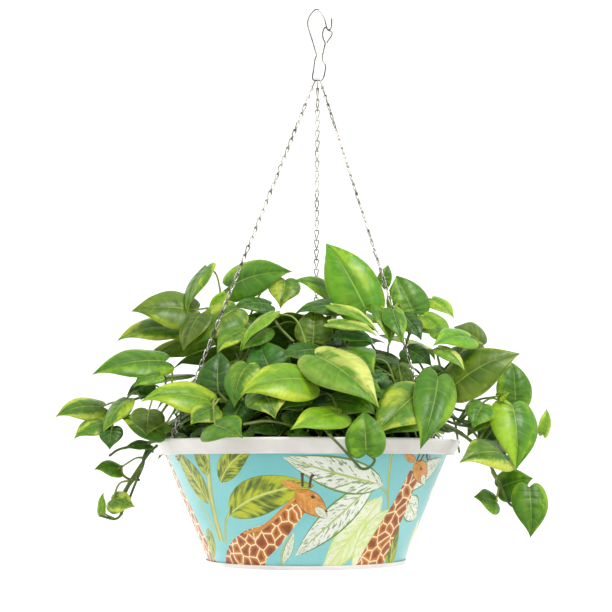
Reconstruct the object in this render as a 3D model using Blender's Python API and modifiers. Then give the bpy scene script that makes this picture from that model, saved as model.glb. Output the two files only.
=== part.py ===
"""A hanging basket of golden pothos: a tapered tub with a rolled rim, hung by three fine chains from one
bent-wire hook, and planted with trailing vines.

The origin is where the hook hangs, inside the top of its bow, with +Z up and +Y away from the front.
Lists of lengths are in millimetres, and MM turns them into metres.
"""
import math

import bmesh
import bpy
from mathutils import Vector
from mathutils.bvhtree import BVHTree

MM = 0.001

# Driving dimensions of the planter, in mm
PLANTER_X = -12.0  # the tub hangs a little to the left of the hook
RIM_TOP_Z = -444.0
RIM_TOP_R = 153.0
RIM_LOW_R = 146.5
RIM_HEIGHT = 14.5
RIM_SHEET = 1.5
LIP_INNER_R = 141.0
TUB_HIGH_R = 144.6
TUB_LOW_R = 95.6
TUB_WALL = 1.6
TUB_FLOOR = 2.0
BASE_Z = -563.6
BASE_BAND_HEIGHT = 4.2
BASE_BAND_SHEET = 1.2
SOIL_TOP_Z = -455.0
FIT_GAP = 0.35  # between neighbouring pieces
ROUND_STEPS = 36

# The hook's wire, the chains' wire and the clips' wire, in mm
HOOK_WIRE_R = 0.8
LINK_WIRE_R = 0.65
CHAIN_R = 1.1
CLIP_WIRE_R = 0.9
LINK_HEIGHT = 11.6
LINK_WIDTH = 5.4
EYE_WIRE_Z = -75.0  # the lower eye's wire, which carries the chains
TOP_LINK_SPACING = 2.6
CLIP_RADIUS = 147.6  # where a clip's leg passes through the lip
CLIP_ANGLES = {"left": 214.0, "right": 322.0, "back": 86.0}
CLIP_EYE_R = 2.9
CLIP_NECK = 3.0  # from the lip up to the clip's eye
LINK_PLAY = 0.25  # between wires that hook round each other

# The plants
LEAF_SHEET = 0.8
STALK_R = 0.95
STEM_R = 1.5
STEM_FOOT = 2.2  # from the soil up to the middle of a stem's lower end
LEAF_CLEARANCE = 1.5
STALK_CLEARANCE = 0.5

# Leaves that show from the front are laid out as they look from an eye at this distance and height.
EYE_DISTANCE = 1280.0
EYE_Z = -471.0
FRONT_EDGE_Z = -441.0  # heights in the lists below count up from the rim's front edge

# Each vine: the places along its stem, as (across, up, depth) in mm.
STEMS = {
    "vine_left_upper": [(-45, -12, -10), (-60, 50, -15), (-75, 105, -10), (-88, 138, -2)],
    "vine_left_outer": [(-85, -12, -25), (-118, 28, -32), (-160, 40, -42), (-196, 26, -42)],
    "vine_left_trailing": [
        (-98, -12, -45), (-128, 8, -58), (-153, -2, -66), (-164, -30, -62),
        (-178, -53, -54), (-181, -72, -50), (-188, -80, -48), (-203, -77, -45),
    ],
    "vine_front_left": [(-50, -12, -62), (-60, 14, -88), (-72, 32, -98), (-93, 38, -108)],
    "vine_front_middle": [(-8, -12, -60), (-4, 25, -84), (4, 55, -92), (6, 84, -82)],
    "vine_front_right": [(46, -12, -62), (68, 24, -88), (92, 46, -92), (116, 58, -92)],
    "vine_top_middle": [(22, -12, -20), (32, 55, -28), (44, 102, -38), (56, 130, -48)],
    "vine_top_right": [(66, -12, -8), (88, 55, -18), (102, 98, -24), (112, 126, -22)],
    "vine_right_outer": [(88, -12, -22), (122, 42, -42), (146, 76, -44), (168, 95, -34)],
    "vine_right_long": [(104, -12, -40), (132, 20, -58), (160, 12, -66), (186, -22, -58)],
    "vine_right_trailing": [
        (96, -12, -52), (128, 14, -74), (162, -2, -72), (184, -30, -58),
        (197, -58, -48), (204, -67, -48), (219, -66, -50),
    ],
}

# Each leaf: its vine, where its stalk meets it and where its tip is as (across, up, depth),
# and its width, all in mm, then the way its upper side faces as (turn to the right, lift), in degrees.
LEAVES = [
    ("vine_left_upper", (-111, 127, -20), (-176, 127, -38), 40, (-10, 28)),
    ("vine_left_upper", (-100, 170, -4), (-119, 124, -22), 30, (-48, 20)),
    ("vine_left_upper", (-78, 151, 12), (-14, 167, 2), 38, (8, 22)),
    ("vine_left_upper", (-71, 130, -42), (-113, 94, -62), 36, (-5, 30)),
    ("vine_left_upper", (-36, 133, -20), (-74, 129, -34), 22, (0, 45)),
    ("vine_left_upper", (-21, 159, -2), (-26, 131, -20), 28, (0, 25)),
    ("vine_left_upper", (-128, 109, -10), (-190, 97, -30), 30, (-8, 40)),
    ("vine_left_upper", (-106, 124, -46), (-123, 86, -62), 27, (-30, 15)),
    ("vine_left_upper", (-82, 144, -22), (-97, 122, -30), 13, (-20, 25)),
    ("vine_left_upper", (-63, 108, -62), (-90, 84, -78), 20, (-10, 35)),
    ("vine_left_upper", (-40, 109, -66), (-67, 86, -84), 22, (-5, 35)),
    ("vine_left_outer", (-141, 76, -52), (-214, 64, -78), 34, (-8, 32)),
    ("vine_left_outer", (-146, 62, -66), (-172, 50, -76), 17, (0, 40)),
    ("vine_left_outer", (-202, 30, -34), (-250, 22, -52), 30, (-12, 38)),
    ("vine_left_outer", (-200, 15, -52), (-231, 0, -66), 22, (-8, 38)),
    ("vine_left_outer", (-180, 38, -62), (-202, 5, -78), 24, (-30, 30)),
    ("vine_left_outer", (-193, 10, -74), (-195, -12, -84), 19, (0, 20)),
    ("vine_left_outer", (-155, 53, -34), (-179, 42, -44), 19, (0, 35)),
    ("vine_left_outer", (-157, 27, -92), (-159, 2, -106), 27, (10, 20)),
    ("vine_left_outer", (-142, 4, -86), (-185, 20, -72), 22, (-10, 30)),
    ("vine_left_trailing", (-155, -7, -74), (-181, -11, -82), 11, (0, 40)),
    ("vine_left_trailing", (-184, -32, -54), (-210, -31, -66), 18, (-10, 35)),
    ("vine_left_trailing", (-191, -61, -52), (-168, -67, -62), 21, (10, 20)),
    ("vine_left_trailing", (-203, -76, -45), (-201, -54, -42), 10, (-40, 10)),
    ("vine_front_left", (-94, 36, -110), (-165, 39, -132), 32, (-6, 38)),
    ("vine_front_left", (-88, 43, -98), (-86, 86, -84), 33, (0, 15)),
    ("vine_front_left", (-59, 72, -104), (-72, 30, -120), 27, (-15, 20)),
    ("vine_front_left", (-92, 12, -146), (-63, 0, -176), 34, (0, 42)),
    ("vine_front_left", (-92, 29, -122), (-115, 13, -138), 23, (0, 35)),
    ("vine_front_left", (-64, 34, -100), (-78, 4, -114), 23, (0, 25)),
    ("vine_front_left", (-31, 12, -118), (-60, 5, -130), 17, (0, 40)),
    ("vine_front_middle", (4, 57, -124), (-65, 45, -152), 38, (-4, 30)),
    ("vine_front_middle", (-43, 47, -134), (-31, 20, -152), 33, (4, 25)),
    ("vine_front_middle", (-33, 62, -92), (-48, 97, -76), 36, (-6, 10)),
    ("vine_front_middle", (13, 88, -90), (-26, 81, -108), 24, (0, 40)),
    ("vine_front_middle", (7, 96, -70), (8, 129, -58), 31, (0, 12)),
    ("vine_front_middle", (-33, 125, -74), (-65, 91, -98), 17, (-30, 35)),
    ("vine_front_middle", (-6, 37, -116), (-27, 28, -128), 17, (0, 35)),
    ("vine_front_middle", (35, 24, -134), (-15, 8, -166), 30, (-4, 40)),
    ("vine_front_middle", (9, 82, -112), (73, 31, -154), 44, (6, 32)),
    ("vine_front_right", (21, 38, -130), (72, 24, -158), 31, (5, 36)),
    ("vine_front_right", (60, -16, -168), (58, 27, -156), 30, (0, 8)),
    ("vine_front_right", (115, 46, -108), (67, 2, -150), 42, (-4, 32)),
    ("vine_front_right", (131, 60, -98), (113, -11, -138), 34, (10, 28)),
    ("vine_front_right", (95, 73, -88), (122, 32, -108), 16, (15, 30)),
    ("vine_front_right", (139, 66, -74), (112, 45, -90), 24, (0, 35)),
    ("vine_front_right", (64, 80, -82), (46, 68, -92), 16, (0, 35)),
    ("vine_front_right", (77, 64, -96), (61, 54, -104), 14, (0, 35)),
    ("vine_front_right", (109, 27, -92), (76, 3, -122), 29, (0, 30)),
    ("vine_top_middle", (61, 127, -60), (20, 198, -40), 44, (6, 12)),
    ("vine_top_middle", (77, 152, -20), (83, 174, -14), 13, (20, 10)),
    ("vine_top_middle", (34, 140, -20), (-13, 159, -36), 23, (0, 42)),
    ("vine_top_middle", (42, 135, -14), (36, 162, -8), 18, (0, 10)),
    ("vine_top_middle", (40, 132, -48), (-11, 126, -68), 25, (-5, 45)),
    ("vine_top_middle", (24, 115, -84), (72, 102, -100), 16, (5, 48)),
    ("vine_top_middle", (31, 104, -68), (70, 94, -82), 18, (5, 45)),
    ("vine_top_middle", (27, 132, -74), (74, 104, -92), 14, (15, 45)),
    ("vine_top_middle", (74, 130, -68), (84, 93, -88), 20, (25, 22)),
    ("vine_top_right", (86, 127, -64), (96, 95, -82), 20, (15, 25)),
    ("vine_top_right", (109, 124, -30), (91, 163, -20), 37, (8, 12)),
    ("vine_top_right", (107, 127, -8), (88, 138, -14), 19, (0, 30)),
    ("vine_top_right", (127, 139, -4), (149, 120, -18), 20, (20, 40)),
    ("vine_top_right", (98, 122, -44), (116, 97, -58), 21, (15, 30)),
    ("vine_top_right", (118, 121, -34), (146, 97, -52), 26, (15, 32)),
    ("vine_top_right", (130, 108, -60), (148, 93, -70), 18, (15, 35)),
    ("vine_right_outer", (178, 92, -20), (149, 111, -32), 32, (10, 25)),
    ("vine_right_outer", (163, 98, -46), (126, 91, -72), 27, (-5, 38)),
    ("vine_right_outer", (133, 89, -80), (159, 67, -92), 15, (15, 40)),
    ("vine_right_outer", (153, 92, -28), (171, 79, -38), 17, (20, 35)),
    ("vine_right_outer", (101, 88, -48), (126, 72, -62), 24, (5, 30)),
    ("vine_right_long", (146, 50, -68), (215, 84, -62), 38, (10, 28)),
    ("vine_right_long", (209, 34, -30), (207, 76, -18), 31, (15, 8)),
    ("vine_right_long", (206, 32, -58), (208, -33, -76), 40, (18, 18)),
    ("vine_right_long", (236, 3, -20), (240, 29, -12), 13, (35, 15)),
    ("vine_right_long", (177, 33, -70), (166, 9, -88), 24, (0, 30)),
    ("vine_right_long", (181, 29, -48), (160, 1, -62), 20, (0, 35)),
    ("vine_right_long", (192, 12, -34), (172, -10, -48), 26, (5, 30)),
    ("vine_right_long", (197, -17, -58), (152, -23, -92), 34, (-5, 32)),
    ("vine_right_long", (191, 40, -60), (203, 45, -64), 10, (10, 30)),
    ("vine_right_trailing", (191, -50, -40), (225, -40, -48), 29, (10, 28)),
    ("vine_right_trailing", (221, -49, -54), (222, -98, -62), 30, (8, 12)),
    ("vine_right_trailing", (189, -64, -50), (166, -58, -66), 23, (-5, 30)),
]

# The rear of the clump, tier by tier: how many leaves, the radius and height of their bases and of their
# tips from the planter's axis, and the first and last bearing from +X, in degrees.
REAR_TIERS = [
    (6, (40, 116), (98, 106), (8, 172)),
    (7, (84, 98), (148, 76), (14, 166)),
    (8, (124, 66), (190, 40), (20, 160)),
    (7, (146, 28), (202, -10), (26, 154)),
    (4, (178, -16), (190, -78), (56, 124)),
]
# The heart of the clump, where darker leaves close the gaps.
INNER_TIERS = [
    (9, (26, 84), (72, 96), (0, 320)),
    (8, (52, 50), (104, 58), (20, 335)),
    (9, (80, 22), (136, 24), (5, 325)),
]
REAR_VINES = {
    "vine_rear_right": 24,
    "vine_rear_right_mid": 57,
    "vine_rear_middle": 90,
    "vine_rear_left_mid": 123,
    "vine_rear_left": 156,
}
INNER_VINES = {
    "vine_inner_right": 0,
    "vine_inner_rear": 110,
    "vine_inner_left": 200,
    "vine_inner_front": 270,
}
REAR_STEM = [(48, -12), (92, 46), (136, 52), (168, 24), (176, -14)]
INNER_STEM = [(22, -12), (30, 30), (36, 62), (40, 84)]


def seen(across, up, depth):
    """The place at this depth that looks (across, up) from the front, for an eye at EYE_DISTANCE."""
    near = (EYE_DISTANCE + depth) / EYE_DISTANCE
    rise = (FRONT_EDGE_Z + up - EYE_Z) * near
    return Vector((PLANTER_X + across * near, depth, EYE_Z + rise))


def around(radius, up, bearing):
    """The place at this radius and height from the planter's axis, at a bearing from +X in degrees."""
    angle = math.radians(bearing)
    return Vector((PLANTER_X + radius * math.cos(angle), radius * math.sin(angle), FRONT_EDGE_Z + up))


def facing(turn, lift):
    """The direction that an upper side faces: turned from the front to the right, then lifted."""
    turn, lift = math.radians(turn), math.radians(lift)
    return Vector((math.sin(turn) * math.cos(lift), -math.cos(turn) * math.cos(lift), math.sin(lift)))


def nearest_vine(vines, bearing):
    """The vine whose bearing is closest."""
    return min(vines, key=lambda name: abs((vines[name] - bearing + 180) % 360 - 180))


ROW_OFFSET = 0.3  # how far every second tier is set round, as a share of its spacing
BASE_SWAY = (9, 8)  # how far leaves of a tier differ in radius and height at the base, in mm
TIP_SWAY = (10, 9)
TIP_TURN = 9  # and in bearing at the tip, in degrees
TIER_LIFT = (34, 10)  # their upper sides' lift, and how far it differs, in degrees
TIER_WIDTH = (0.6, 0.05)  # their width as a share of their length, and how far it differs


def ring_leaves(tiers, vines):
    """The leaves of these tiers, spread evenly in bearing with a small regular variation."""
    leaves = []
    for row, (count, base, tip, span) in enumerate(tiers):
        offset = ROW_OFFSET * (row % 2)
        for i in range(count):
            sway = math.sin(2.4 * i + 1.7 * row)
            lean = math.cos(3.1 * i + 0.9 * row)
            bearing = span[0] + (span[1] - span[0]) * (i + offset) / (count - 1 + offset)
            start = around(base[0] + BASE_SWAY[0] * sway, base[1] + BASE_SWAY[1] * lean, bearing)
            end = around(tip[0] + TIP_SWAY[0] * lean, tip[1] + TIP_SWAY[1] * sway, bearing + TIP_TURN * lean)
            width = (TIER_WIDTH[0] + TIER_WIDTH[1] * sway) * (end - start).length
            lift = TIER_LIFT[0] + TIER_LIFT[1] * sway
            vine = nearest_vine(vines, bearing)
            outward = Vector((end.x - PLANTER_X, end.y, 0)).normalized()
            leaves.append((vine, start, end, width, (bearing + 90, lift), outward))
    return leaves


def all_leaves():
    """Every leaf as (vine, base, tip, width, facing, the way in which it may be moved clear)."""
    leaves = []
    for vine, base, tip, width, face in LEAVES:
        leaves.append((vine, seen(*base), seen(*tip), width, face, Vector((0, 1, 0))))
    leaves += ring_leaves(REAR_TIERS, REAR_VINES)
    leaves += ring_leaves(INNER_TIERS, INNER_VINES)
    return leaves


def all_stems():
    """Every vine's stem as a list of places, from the soil outward."""
    stems = {vine: [seen(*place) for place in places] for vine, places in STEMS.items()}
    for vine, bearing in REAR_VINES.items():
        stems[vine] = [around(radius, up, bearing) for radius, up in REAR_STEM]
    for vine, bearing in INNER_VINES.items():
        stems[vine] = [around(radius, up, bearing) for radius, up in INNER_STEM]
    for places in stems.values():
        places[0].z = SOIL_TOP_Z + STEM_FOOT
    return stems


def smooth_path(places, parts):
    """Points on a smooth curve through these places, with this many parts between each two."""
    ends = [places[0] * 2 - places[1]] + places + [places[-1] * 2 - places[-2]]
    points = []
    for a, b, c, d in zip(ends, ends[1:], ends[2:], ends[3:]):
        for i in range(parts):
            t = i / parts
            bend, twist = 2 * a - 5 * b + 4 * c - d, 3 * b - a - 3 * c + d
            points.append(0.5 * (2 * b + (c - a) * t + bend * t**2 + twist * t**3))
    points.append(places[-1].copy())
    return points


def leaf_axes(base, tip, face):
    """The leaf's own directions: along its midrib, across it, and out of its upper side."""
    along = (tip - base).normalized()
    out = facing(*face)
    out = (out - along * out.dot(along)).normalized()
    return along, out.cross(along), out


# Down one side of a leaf: how far along the midrib, and the half-width there as a share of the widest.
LEAF_OUTLINE = [(-0.09, 0.45), (0.22, 1.0), (0.68, 0.56)]
MIDRIB_STOPS = [0.0, 0.22, 0.68, 1.0]


def leaf_sheet(base, tip, width, face):
    """(points, faces) of a heart-shaped, pointed leaf, arched along its midrib and falling at its margins."""
    along, across, out = leaf_axes(base, tip, face)
    length = (tip - base).length

    def place(t, side):
        arch = 0.09 * length * (1 - (2 * t - 1) ** 2)
        fall = 0.16 * width * side**2
        return base + along * t * length + across * side * width / 2 + out * (arch - fall)

    points = [place(t, 0) for t in MIDRIB_STOPS]
    for side in (1, -1):
        points += [place(t, side * share) for t, share in LEAF_OUTLINE]
    faces = []
    for first in (4, 7):
        rows = [(0, first, first + 1, 1), (1, first + 1, first + 2, 2), (2, first + 2, 3)]
        faces += [row if first == 7 else row[::-1] for row in rows]
    return points, faces


def along_stem(stem, share):
    """The place at this share of a stem's parts."""
    at = max(0.0, min(share, 1.0)) * (len(stem) - 1)
    first = min(int(at), len(stem) - 2)
    return stem[first].lerp(stem[first + 1], at - first)


def nearest_share(stem, place):
    """The share of the stem that comes closest to a place."""
    return min((k / 40 for k in range(6, 41)), key=lambda share: (along_stem(stem, share) - place).length)


def stalk_path(stem, base, tip, face, share):
    """A leaf stalk from this share of the stem, rising and then running into the leaf along its midrib."""
    at = along_stem(stem, share)
    along, _, out = leaf_axes(base, tip, face)
    reach = (base - at).length
    first = at + Vector((0, 0, 0.45 * reach))
    last = base - along * 0.3 * reach + Vector((0, 0, 0.08 * reach))
    inside = base + along * 2.4 + out * 0.8
    points = []
    for t in (0, 0.5):
        left = 1 - t
        points.append(at * left**3 + first * 3 * t * left**2 + last * 3 * t**2 * left + base * t**3)
    return points + [inside]


def clear_scene():
    for obj in list(bpy.data.objects):
        bpy.data.objects.remove(obj, do_unlink=True)


def new_collection(name):
    collection = bpy.data.collections.new(name)
    bpy.context.scene.collection.children.link(collection)
    return collection


def material(name, colour, roughness, metallic=0.0):
    made = bpy.data.materials.new(name)
    made.use_nodes = True
    shader = made.node_tree.nodes["Principled BSDF"]
    shader.inputs["Base Color"].default_value = (*colour, 1)
    shader.inputs["Roughness"].default_value = roughness
    shader.inputs["Metallic"].default_value = metallic
    return made


def mesh_object(name, points, faces, collection, finish=None):
    """A mesh object from points in mm."""
    mesh = bpy.data.meshes.new(name)
    mesh.from_pydata([point * MM for point in points], [], faces)
    obj = bpy.data.objects.new(name, mesh)
    collection.objects.link(obj)
    if finish:
        mesh.materials.append(finish)
    return obj


def wire(name, points, radius, collection, sides=1, closed=False):
    """A round wire of this radius through points in mm."""
    curve = bpy.data.curves.new(name, "CURVE")
    curve.dimensions = "3D"
    curve.bevel_depth = radius * MM
    curve.bevel_resolution = sides
    curve.use_fill_caps = not closed
    spline = curve.splines.new("POLY")
    spline.points.add(len(points) - 1)
    for point, place in zip(spline.points, points):
        point.co = (*(place * MM), 1)
    spline.use_cyclic_u = closed
    obj = bpy.data.objects.new(name, curve)
    collection.objects.link(obj)
    return obj


def to_mesh(obj, collection, finish=None, merge=1e-6):
    """The evaluated object as a plain mesh object of the same name, with the original removed."""
    graph = bpy.context.evaluated_depsgraph_get()
    mesh = bpy.data.meshes.new_from_object(obj.evaluated_get(graph))
    work = bmesh.new()
    work.from_mesh(mesh)
    bmesh.ops.remove_doubles(work, verts=work.verts, dist=merge)
    bmesh.ops.recalc_face_normals(work, faces=work.faces)
    work.to_mesh(mesh)
    work.free()
    name, matrix = obj.name, obj.matrix_world.copy()
    bpy.data.objects.remove(obj, do_unlink=True)
    made = bpy.data.objects.new(name, mesh)
    made.matrix_world = matrix
    collection.objects.link(made)
    mesh.materials.clear()
    if finish:
        mesh.materials.append(finish)
    return made


BOOLEAN_WELD = 2e-5  # in metres


def keep_outer_shell(mesh):
    """Removes every shell but the one with the most faces, such as a pocket closed in by joined pieces."""
    work = bmesh.new()
    work.from_mesh(mesh)
    left = set(work.faces)
    shells = []
    while left:
        shell, edge_of_shell = set(), [left.pop()]
        while edge_of_shell:
            face = edge_of_shell.pop()
            shell.add(face)
            for edge in face.edges:
                for other in edge.link_faces:
                    if other in left:
                        left.discard(other)
                        edge_of_shell.append(other)
        shells.append(shell)
    shells.sort(key=len)
    loose = [face for shell in shells[:-1] for face in shell]
    if loose:
        bmesh.ops.delete(work, geom=loose, context="FACES")
        work.to_mesh(mesh)
    work.free()


def boolean(obj, operation, others, workshop):
    """Applies one Boolean of these objects to obj, and removes them."""
    group = bpy.data.collections.new(obj.name + "_with")
    workshop.children.link(group)
    for other in others:
        group.objects.link(other)
    modifier = obj.modifiers.new(operation.lower(), "BOOLEAN")
    modifier.operation = operation
    modifier.operand_type = "COLLECTION"
    modifier.collection = group
    modifier.solver = "MANIFOLD" if operation == "UNION" else "EXACT"
    made = to_mesh(obj, workshop, merge=BOOLEAN_WELD)
    keep_outer_shell(made.data)
    for other in others:
        bpy.data.objects.remove(other, do_unlink=True)
    bpy.data.collections.remove(group)
    return made


def finish_piece(obj, name, parts, finish):
    """Moves a finished piece into the parts collection, under its own name and with its material."""
    for collection in list(obj.users_collection):
        collection.objects.unlink(obj)
    parts.objects.link(obj)
    obj.name = name
    obj.data.name = name
    obj.data.materials.clear()
    obj.data.materials.append(finish)
    obj.data.shade_smooth()
    obj.data.set_sharp_from_angle(angle=math.radians(40))
    return obj


def turned(name, profile, parts, finish):
    """A piece turned about the planter's axis from a profile of (radius, z), down its outer side first."""
    mesh = bpy.data.meshes.new(name)
    count = len(profile)
    closed = profile[0][0] > 0
    edges = [(i, (i + 1) % count) for i in range(count if closed else count - 1)]
    mesh.from_pydata([(radius * MM, 0, z * MM) for radius, z in profile], edges, [])
    obj = bpy.data.objects.new(name, mesh)
    obj.location.x = PLANTER_X * MM
    parts.objects.link(obj)
    screw = obj.modifiers.new("turn", "SCREW")
    screw.steps = ROUND_STEPS
    screw.render_steps = ROUND_STEPS
    screw.use_merge_vertices = True
    screw.merge_threshold = 0.00001
    screw.use_smooth_shade = True
    mesh.materials.append(finish)
    return obj


def tub_radius(z):
    """The tub's outer radius at this height."""
    high, low = RIM_TOP_Z - RIM_SHEET - FIT_GAP, BASE_Z
    return TUB_LOW_R + (TUB_HIGH_R - TUB_LOW_R) * (z - low) / (high - low)


def planter_shell(parts, finish):
    high = RIM_TOP_Z - RIM_SHEET - FIT_GAP
    floor = BASE_Z + TUB_FLOOR
    corner = 1.2
    profile = [
        (0, floor),
        (tub_radius(floor) - TUB_WALL - corner, floor),
        (tub_radius(floor) - TUB_WALL, floor + corner),
        (TUB_HIGH_R - TUB_WALL, high),
        (TUB_HIGH_R, high),
        (TUB_LOW_R + 0.2, BASE_Z + 0.8),
        (TUB_LOW_R - 0.8, BASE_Z),
        (0, BASE_Z),
    ]
    return turned("planter_shell", profile, parts, finish)


def rim_band(parts, workshop, finish):
    """The rim: a flat lip over the tub's edge and a slanting skirt outside it, with a slot for each clip."""
    top, low = RIM_TOP_Z, RIM_TOP_Z - RIM_HEIGHT
    profile = [
        (LIP_INNER_R + 0.5, top - 0.2),
        (RIM_TOP_R - 1.4, top),
        (RIM_TOP_R - 0.4, top - 0.5),
        (RIM_TOP_R, top - 1.6),
        (RIM_LOW_R, low),
        (RIM_LOW_R - RIM_SHEET, low),
        (RIM_TOP_R - RIM_SHEET - 0.2, top - RIM_SHEET - 0.6),
        (RIM_TOP_R - RIM_SHEET - 1.0, top - RIM_SHEET),
        (LIP_INNER_R, top - RIM_SHEET),
        (LIP_INNER_R, top - 0.7),
    ]
    ring = to_mesh(turned("rim_band", profile, workshop, finish), workshop)
    slots = []
    for side, bearing in CLIP_ANGLES.items():
        x, y = clip_foot(bearing).xy
        bpy.ops.mesh.primitive_cylinder_add(
            vertices=12, radius=1.7 * MM, depth=8 * MM, location=(x * MM, y * MM, top * MM)
        )
        slot = bpy.context.object
        slot.name = "slot_" + side
        slots.append(slot)
    return finish_piece(boolean(ring, "DIFFERENCE", slots, workshop), "rim_band", parts, finish)


def base_band(parts, finish):
    top = BASE_Z + BASE_BAND_HEIGHT
    inner_top = tub_radius(top) + FIT_GAP
    inner_low = tub_radius(BASE_Z) + FIT_GAP + 0.3
    profile = [
        (inner_top, top),
        (inner_top + BASE_BAND_SHEET, top),
        (inner_low + BASE_BAND_SHEET, BASE_Z + 0.6),
        (inner_low + BASE_BAND_SHEET - 0.6, BASE_Z),
        (inner_low, BASE_Z),
    ]
    return turned("base_band", profile, parts, finish)


def soil(parts, finish):
    floor = BASE_Z + TUB_FLOOR + FIT_GAP
    inset = TUB_WALL + 2 * FIT_GAP
    edge = SOIL_TOP_Z - 3
    profile = [
        (0, SOIL_TOP_Z),
        (tub_radius(edge) - inset - 9, SOIL_TOP_Z),
        (tub_radius(edge) - inset, edge),
        (tub_radius(floor) - inset - 1.6, floor),
        (0, floor),
    ]
    return turned("soil", profile, parts, finish)


# The hook's wire as (x, z, y), from its free tip round the bow, down the long side, through the lower eye,
# and up the keeper to the loop that the tip is sprung into. The y keeps crossing stretches apart.
HOOK_ROUTE = [
    (14.6, -9.5, -1.3), (14.6, -14.5, -1.3), (14.2, -18.6, -1.3), (12.9, -20.9, -1.3), (11.2, -21.1, -1.3),
    (9.6, -19.2, -1.3), (8.6, -15.4, -1.1), (7.6, -10.8, -0.8), (5.4, -5.6, -0.4), (2.6, -1.2, 0),
    (0.0, 0.8, 0), (-3.0, 0.1, 0), (-6.2, -3.2, 0), (-9.0, -7.8, 0), (-10.3, -13.2, 0), (-9.8, -18.4, 0),
    (-8.2, -23.8, 0), (-6.2, -30.0, 0), (-4.2, -37.2, 0), (-2.2, -44.2, 0), (-1.2, -48.6, 0),
    (-2.4, -51.6, 0), (-3.4, -57.4, 0), (-4.2, -64.0, 0), (-5.2, -70.0, 0), (-5.0, -73.4, 0),
    (-3.6, -75.0, 0), (0.0, -75.0, 0), (3.6, -75.0, 0), (5.4, -73.4, 0), (6.7, -69.8, 0), (7.8, -64.2, 0),
    (8.0, -59.0, 0), (5.4, -54.0, 0.2), (5.0, -49.4, 0.6), (6.2, -42.8, 1.0), (7.8, -35.2, 1.3),
    (6.0, -30.4, 1.3), (5.2, -26.0, 1.3), (5.8, -21.6, 1.3), (7.6, -18.0, 1.3), (9.6, -19.4, 1.3),
    (11.4, -21.6, 1.3), (13.6, -21.8, 1.5), (15.0, -23.6, 1.8), (14.2, -27.0, 2.2), (11.6, -30.8, 2.6),
    (9.6, -33.8, 3.1),
]


def hook(parts, workshop, finish):
    places = [Vector((x, y, z)) for x, z, y in HOOK_ROUTE]
    made = to_mesh(wire("hook", smooth_path(places, 1), HOOK_WIRE_R, workshop), workshop)
    return finish_piece(made, "hook", parts, finish)


def link_loop(name, top, down, flat, workshop):
    """One closed link, with its top bend at top, running along down and lying square to flat."""
    side = down.cross(flat).normalized()
    radius = LINK_WIDTH / 2 - LINK_WIRE_R
    straight = LINK_HEIGHT - LINK_WIDTH
    places = []
    for i in range(5):
        angle = math.pi * i / 4
        places.append(top + down * radius * (1 - math.sin(angle)) + side * radius * math.cos(angle))
    for i in range(5):
        angle = math.pi * i / 4
        low = top + down * (radius + straight)
        places.append(low + down * radius * math.sin(angle) - side * radius * math.cos(angle))
    return wire(name, places, LINK_WIRE_R, workshop, closed=True)


TOP_LINK_X = {"left": -TOP_LINK_SPACING, "back": 0.0, "right": TOP_LINK_SPACING}
LINK_REACH = LINK_HEIGHT - 2 * LINK_WIRE_R  # between the centres of a link's two bends
LINK_PITCH = LINK_REACH - 2 * LINK_WIRE_R - LINK_PLAY


def chain_ends(side):
    """Where a chain starts, over the hook's lower eye, where it ends, in its clip, and its direction."""
    carrier = Vector((TOP_LINK_X[side], 0, EYE_WIRE_Z))
    bend = 2 * CLIP_EYE_R + CLIP_NECK - CLIP_WIRE_R - LINK_WIRE_R - LINK_PLAY
    end = clip_foot(CLIP_ANGLES[side]) + Vector((0, 0, bend))
    down = (end - carrier).normalized()
    return carrier - down * (HOOK_WIRE_R + LINK_WIRE_R + LINK_PLAY), end, down


def top_links(parts, workshop, finish):
    """The first link of each chain, hung side by side over the lower eye's wire."""
    for side in TOP_LINK_X:
        start, _, down = chain_ends(side)
        flat = down.cross(Vector((0, 1, 0))).normalized()
        loop = link_loop("top_link_" + side, start, down, flat, workshop)
        finish_piece(to_mesh(loop, workshop), "top_link_" + side, parts, finish)


def clip_foot(bearing):
    """Where a clip's leg passes through the lip."""
    angle = math.radians(bearing)
    return Vector((PLANTER_X + CLIP_RADIUS * math.cos(angle), CLIP_RADIUS * math.sin(angle), RIM_TOP_Z))


def clips(parts, workshop, finish):
    """Each clip: an eye above the lip, a leg down inside the skirt, and a foot turned up under it."""
    for side, bearing in CLIP_ANGLES.items():
        angle = math.radians(bearing)
        outward = Vector((math.cos(angle), math.sin(angle), 0))
        up = Vector((0, 0, 1))
        foot = clip_foot(bearing)
        eye = foot + up * (CLIP_EYE_R + CLIP_NECK)
        places = []
        for i in range(8):
            turn = math.radians(-60 - 300 * i / 7)
            places.append(eye + outward * CLIP_EYE_R * math.cos(turn) + up * CLIP_EYE_R * math.sin(turn))
        places[0] += outward * 0.6 - up * 0.2
        leg = [(0.0, 0.6), (-0.1, -3.0), (-2.8, -9.0), (-5.4, -14.5)]
        leg += [(-5.5, -17.6), (-4.4, -19.9), (-2.7, -19.6), (-2.1, -16.4)]
        places += [foot + outward * out + up * rise for out, rise in leg]
        made = to_mesh(wire("clip_" + side, smooth_path(places, 1), CLIP_WIRE_R, workshop), workshop)
        finish_piece(made, "clip_" + side, parts, finish)


def chains(parts, workshop, finish):
    """Each chain: an end link in the top link, an end link in the clip's eye, and the run between them."""
    for side, bearing in CLIP_ANGLES.items():
        start, end, down = chain_ends(side)
        second = start + down * LINK_PITCH
        last = end - down * LINK_REACH
        angle = math.radians(bearing)
        inward = Vector((-math.sin(angle), math.cos(angle), 0)).cross(down).normalized()
        forward = Vector((0, 1, 0))
        forward = (forward - down * forward.dot(down)).normalized()
        high = to_mesh(link_loop("high", second, down, forward, workshop), workshop)
        low = to_mesh(link_loop("low", last, down, inward, workshop), workshop)
        rod = [second + down * LINK_REACH, second.lerp(end, 0.5), last]
        run = to_mesh(wire("run", rod, CHAIN_R, workshop), workshop)
        made = boolean(run, "UNION", [high, low], workshop)
        finish_piece(made, "chain_" + side, parts, finish)


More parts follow.
